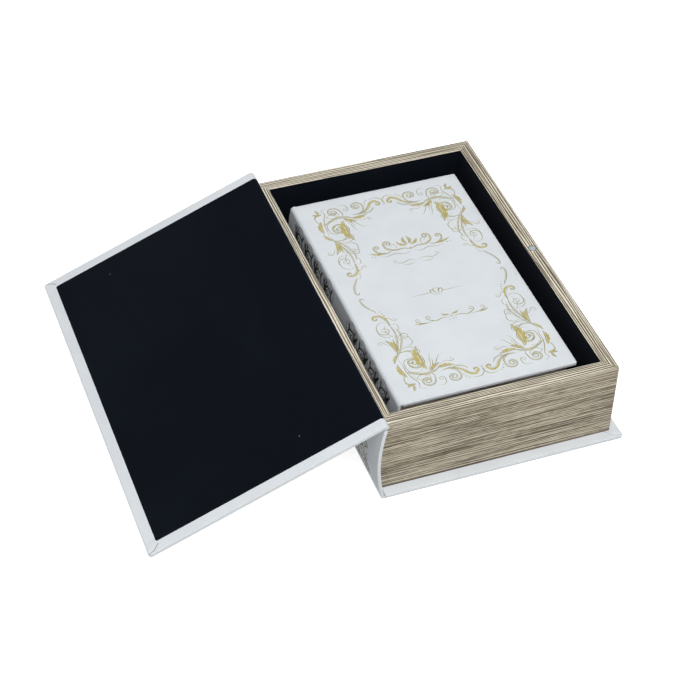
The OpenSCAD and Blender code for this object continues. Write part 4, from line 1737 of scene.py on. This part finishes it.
    SPINE_UNIT: tuple[Motif, ...] = (
        Vine(((0.2, 0.4), (2.6, 3.2), (8.4, 2.6), (13.8, 4.6), (15.6, 9.0)), 1.5, Curl(4.4, 1.0, 1.5), 0.9),
        Vine(((0.6, 19.2), (3.2, 14.6), (8.4, 14.6), (14.6, 17.6), (19.0, 15.6)), 1.1, Curl(3.4, 0.8, -1.1),
             0.6),
        Leaf((0.8, 3.0), (4.8, 13.6), -1.3, 4.4, 4),
        Leaf((7.2, 14.8), (17.4, 20.2), -1.0, 3.2, 4),
        Leaf((12.8, 3.8), (20.0, 1.2), 0.8, 2.6, 3), Leaf((13.2, 13.8), (20.4, 12.2), 0.6, 2.2, 3),
        Leaf((2.4, 12.2), (7.0, 7.0), 0.7, 2.0, 3),
        Vine(((15.4, 7.6), (19.2, 6.4), (21.0, 9.4), (19.8, 12.4)), 0.7),
        Vine(((0.0, 9.6), (1.6, 14.0), (0.2, 19.4)), 0.9),
        Vine(((1.6, 5.4), (5.4, 8.6), (10.2, 7.6)), 0.5, Curl(2.3, 0.6, -1.3), 0.3),
        Vine(((16.0, 10.6), (19.8, 14.2), (18.6, 18.4)), 0.5, Curl(1.9, 0.5, 1.2), 0.3),
        Vine(((8.6, 3.2), (10.6, 0.2), (14.8, -0.8), (19.4, 0.6)), 0.5),
        Vine(((0.4, 6.8), (3.4, 10.4), (7.0, 13.2), (12.0, 13.6)), 0.45),
        Vine(((19.0, 3.0), (21.6, 5.6), (21.8, 10.0), (20.8, 14.6)), 0.5),
        Vine(((3.6, 18.8), (8.2, 16.4), (12.6, 18.4), (15.0, 21.4)), 0.45),
        Bead((5.6, 17.6), 0.6), Bead((7.8, 19.0), 0.5), Bead((9.2, 0.4), 0.5), Bead((11.6, 12.6), 0.5),
    )
    SPINE_PITCH = 19.8
    SPINE_START = 14.0
    SPINE_UNITS = 4

    @classmethod
    def cover(cls) -> list[Strip]:
        """All the strips of a cover: the frame in four quarters, and what lies on the middle line."""
        return (repeated((*cls.COLUMN, *cls.CORNER), cls.QUARTERS)
                + repeated((*cls.CENTREPIECE, *cls.KNOT, *cls.TAILPIECE), cls.HALVES))

    @classmethod
    def spine(cls) -> list[Strip]:
        """All the strips of a spine: two long panels of a running scroll, with a bare stretch between."""
        made: list[Strip] = []
        for unit in range(cls.SPINE_UNITS):
            made += repeated(cls.SPINE_UNIT, cls.QUARTERS, (0.0, cls.SPINE_START + unit * cls.SPINE_PITCH))
        return made


@dataclass(frozen=True)
class FoilStamp:
    """Stamps a design of foil on to a surface that a rule gives."""

    scale: Point
    lie: Callable[[float, float, float], Vector]
    low: float = 0.006 * MM
    proud: float = 0.034 * MM

    def surface(self, design: Iterable[Strip]) -> Surface:
        """Builds the foil: each strip is a low ridge that follows the surface.

        Args:
            design: each strip's left and right edges, in millimetres.

        Returns:
            The foil.
        """
        foil = Surface()
        for strip in design:
            rows = []
            for left, right in strip:
                middle = (left + right) / 2
                points = [(left, self.low), (middle, self.proud), (right, self.low)]
                lain = [self.lie(point.x * self.scale[0] * MM, point.y * self.scale[1] * MM, height)
                        for point, height in points]
                rows.append(foil.row(lain, smooth_step(1.3, 0.5, (left - right).length)))
            foil.loft(rows)
        return foil


@dataclass
class BookBox:
    """One box of the pair: a tray cased in like a book, with a lid on a leatherette joint."""

    prefix: str
    tray: str
    lid: str
    joint: str
    foil_scale: Point
    spine_scale: Point
    foil_shift: float = 0.6 * MM
    strip_bend: float = 70.0
    sizes: BoxSizes = field(init=False)
    made: list[bpy.types.Object] = field(default_factory=list)

    def __post_init__(self) -> None:
        """Reads the sizes from the frame."""
        self.sizes = BoxSizes.read(self.prefix, self.joint)

    def settle(self, piece: bpy.types.Object, body: str, *nodes: str) -> None:
        """Lets a piece ride on a body and stand for solids of the frame.

        Args:
            piece: the piece.
            body: the body that it rides on.
            *nodes: the solids that it replaces, without the box's prefix.
        """
        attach(piece, body)
        if nodes:
            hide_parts(*(self.prefix + node for node in nodes))
        self.made.append(piece)

    def add(self, surface: Surface, name: str, finish: Finish, placed: Matrix, body: str,
            *nodes: str) -> None:
        """Makes a piece from a surface and settles it.

        Args:
            surface: its surface.
            name: its name, without the box's prefix.
            finish: what it is finished with.
            placed: from the surface's own space into the frame.
            body: the body that it rides on.
            *nodes: the solids that it replaces, without the box's prefix.
        """
        self.settle(surface.piece(self.prefix + name, finish, placed), body, *nodes)

    def build(self) -> None:
        """Builds every piece of the box."""
        self.build_case()
        self.build_walls()
        self.build_velvet()
        self.build_magnets()
        self.build_foil()
        self.dress_boards()

    def build_case(self) -> None:
        """Builds the leatherette: both covers, the spine and the folding joint."""
        box = self.sizes
        base = CoverSkin(box, box.square + box.flap_lap, fold_rise=0.12 * MM, fold_depth=0.12 * MM,
                         fold_shade=0.4)
        lid = CoverSkin(box, box.lid_margin, rounds_over=True)
        flat, open_lid = box.box_place(), box.lid_place()
        self.add(base.surface(), "base_cover_skin", LEATHERETTE, flat, self.tray, "base_leatherette")
        self.add(lid.surface(), "lid_cover_skin", LEATHERETTE, open_lid, self.lid, "lid_leatherette")
        self.add(SpineSkin(box).surface(), "spine_skin", LEATHERETTE, flat, self.tray,
                 "spine_leatherette", "lower_joint")
        joint = LidJoint(box)
        strip = joint.surface().piece(f"{self.prefix}lid_joint_strip", LEATHERETTE, flat, self.strip_bend)
        start, end = joint.blend_line()
        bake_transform(strip, self.tray, self.lid, start=start, end=end)
        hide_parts(f"{self.prefix}lid_joint")
        self.made.append(strip)

    def build_walls(self) -> None:
        """Builds the four mitred walls in wood-grain paper, with eased arrises."""
        for side in Side:
            paper = WallPaper(f"{self.prefix}wall_{side.value}", side)
            wall = paper.piece(f"{self.prefix}{side.value}_wall_paper")
            self.settle(wall, self.tray, f"wall_{side.value}")

    def build_velvet(self) -> None:
        """Builds the velvet of the tray and of the lid."""
        work = VelvetWork(self.sizes)
        self.settle(work.floor(), self.tray, "floor_velvet")
        for side in Side:
            self.settle(work.lining(side), self.tray, f"lining_{side.value}")
        self.settle(work.lid(), self.lid, "lid_velvet")

    def build_magnets(self) -> None:
        """Builds the magnet in the rim and the one under the lid's velvet."""
        box = self.sizes
        in_rim = box.box_place() @ Matrix.Translation((box.magnet_x, 0.0, box.rim_z - box.magnet_t))
        in_lid = box.lid_place() @ Matrix.Translation((box.magnet_x, 0.0, box.board_level - box.lid_magnet_t))
        rim, lid = MagnetDisc(box.magnet_d, box.magnet_t), MagnetDisc(box.lid_magnet_d, box.lid_magnet_t)
        self.add(rim.surface(), "rim_magnet_disc", NICKEL, in_rim, self.tray, "rim_magnet")
        self.add(lid.surface(), "lid_magnet_disc", NICKEL, in_lid, self.lid, "lid_magnet")

    def build_foil(self) -> None:
        """Stamps the foil on the lid's outer face, and on the spine in a copy of the foil darkened with
        painted shade.
        """
        box = self.sizes
        middle = box.cover_w / 2 + self.foil_shift
        stamp = FoilStamp(self.foil_scale, lambda x, y, height: Vector((middle + x, y, -height)))
        self.add(stamp.surface(Ornament.cover()), "lid_foil", FOIL, box.lid_place(), self.lid)
        radius = box.arc_r + box.spine_t + box.leather_t
        centre = Vector((box.arc_r - box.rise, box.pivot_z / 2))

        def on_spine(x: float, y: float, height: float) -> Vector:
            """A place on the spine's outer face, x being measured round it."""
            turn = x / radius
            reach = radius + height
            return Vector((centre.x - reach * math.cos(turn), y, centre.y + reach * math.sin(turn)))

        stamp = FoilStamp(self.spine_scale, on_spine)
        self.add(stamp.surface(Ornament.spine()), "spine_foil", SHADED_SPINE_FOIL, box.box_place(), self.tray)

    def dress_boards(self) -> None:
        """Rounds the lid's board at its joint, and finishes the boards that the coverings hide."""
        core = rounded_board(f"{self.prefix}lid_board", self.sizes, f"{self.prefix}lid_core")
        self.settle(core, self.lid, "lid_board")
        for node in ("base_board", "spine_board", "floor_panel"):
            board = frame["nodes"][self.prefix + node]
            board.data.materials.clear()
            board.data.materials.append(FIBREBOARD.material())


@dataclass(frozen=True)
class SoftLamp:
    """A soft rectangular lamp that points at the object."""

    name: str
    place: Point3
    size: Point
    watts: float

    def hang(self) -> None:
        """Makes the lamp."""
        data = bpy.data.lights.new(self.name, "AREA")
        data.shape = "RECTANGLE"
        data.size, data.size_y = self.size
        data.energy = self.watts
        made = linked(bpy.data.objects.new(self.name, data))
        made.location = self.place
        made.rotation_mode = "QUATERNION"
        made.rotation_quaternion = made.location.to_track_quat("Z", "Y")


@dataclass(frozen=True)
class Studio:
    """The plain studio: the camera, two soft lamps, an even sky and a pale floor."""

    eye: Vector = Vector((-0.4313, -0.9324, 0.9405))
    turn: float = math.radians(-21.733)
    tilt: float = math.radians(46.996)
    roll: float = math.radians(2.137)
    focal_pixels: float = 1977.4
    frame_pixels: float = 700.0
    sensor_mm: float = 36.0
    near_clip: float = 0.05
    far_clip: float = 20.0
    lamps: tuple[SoftLamp, ...] = (
        SoftLamp("softbox", (-0.2, -1.6, 2.25), (1.75, 1.45), 60.5),
        SoftLamp("top_fill", (-0.1, 0.5, 1.9), (1.3, 1.1), 5.5),
    )
    sky_light: float = 0.2
    floor_reach: float = 4.0
    floor_colour: Colour = (0.6, 0.6, 0.6)
    floor_glow: float = 0.8

    def camera(self) -> None:
        """Makes the camera at the photograph's viewing angle."""
        data = bpy.data.cameras.new("view")
        data.sensor_width = self.sensor_mm
        data.lens = self.focal_pixels / self.frame_pixels * self.sensor_mm
        data.clip_start, data.clip_end = self.near_clip, self.far_clip
        camera = bpy.data.objects.new("view", data)
        turned = Matrix.Rotation(self.turn, 4, "Z") @ Matrix.Rotation(self.tilt, 4, "X")
        camera.matrix_world = Matrix.Translation(self.eye) @ turned @ Matrix.Rotation(self.roll, 4, "Z")
        bpy.context.scene.camera = linked(camera)

    def lights(self) -> None:
        """Hangs the lamps, and makes an even sky that shows white behind the object."""
        for lamp in self.lamps:
            lamp.hang()
        world = bpy.data.worlds.new("sky")
        bpy.context.scene.world = world
        world.use_nodes = True
        wiring = NodeWiring(world.node_tree)
        seen = self.seen(wiring)
        strength = wiring.math("ADD", self.sky_light, wiring.math("MULTIPLY", seen, 1.0 - self.sky_light))
        wiring.give(world.node_tree.nodes["Background"], Color=WHITE, Strength=strength)

    def seen(self, wiring: NodeWiring) -> Socket:
        """1 for a ray from the camera, a mirror or glass, and 0 for one that only carries light."""
        path = wiring.add("ShaderNodeLightPath")
        both = wiring.math("ADD", path.outputs["Is Camera Ray"], path.outputs["Is Glossy Ray"], clamp=True)
        return wiring.math("ADD", both, path.outputs["Is Transmission Ray"], clamp=True)

    def floor(self) -> None:
        """Makes the pale floor, which keeps the object's shadow."""
        reach = self.floor_reach
        corners = [(-reach, -reach, 0), (reach, -reach, 0), (reach, reach, 0), (-reach, reach, 0)]
        mesh = bpy.data.meshes.new("floor")
        mesh.from_pydata(corners, [], [(0, 1, 2, 3)])
        floor = bpy.data.objects.new("floor", mesh)
        material = bpy.data.materials.new("pale_floor")
        material.use_nodes = True
        wiring = NodeWiring(material.node_tree)
        glow = wiring.math("MULTIPLY", self.seen(wiring), self.floor_glow)
        wiring.give(material.node_tree.nodes["Principled BSDF"], Base_Color=(*self.floor_colour, 1.0),
                    Roughness=0.9, Specular_IOR_Level=0.0, Emission_Color=WHITE, Emission_Strength=glow)
        mesh.materials.append(material)
        linked(floor)

    def build(self) -> None:
        """Sets up the whole studio."""
        self.camera()
        self.lights()
        self.floor()
        bpy.context.scene.view_settings.view_transform = "Standard"


def main() -> None:
    """Builds the studio and both boxes, and logs how many pieces each box has."""
    logging.basicConfig(level=logging.INFO, format="%(name)s: %(message)s")
    Studio().build()
    boxes = (
        BookBox("", "large_tray", "large_lid", "large_lid_hinge", (1.33, 1.27), (1.34, 1.27)),
        BookBox("small_", "small_tray", "small_lid", "small_lid_hinge", (1.0, 1.0), (0.98, 1.0)),
    )
    for box in boxes:
        box.build()
        LOG.info("built the %s box: %d pieces", box.prefix.rstrip("_") or "large", len(box.made))


if __name__ == "__main__":
    main()
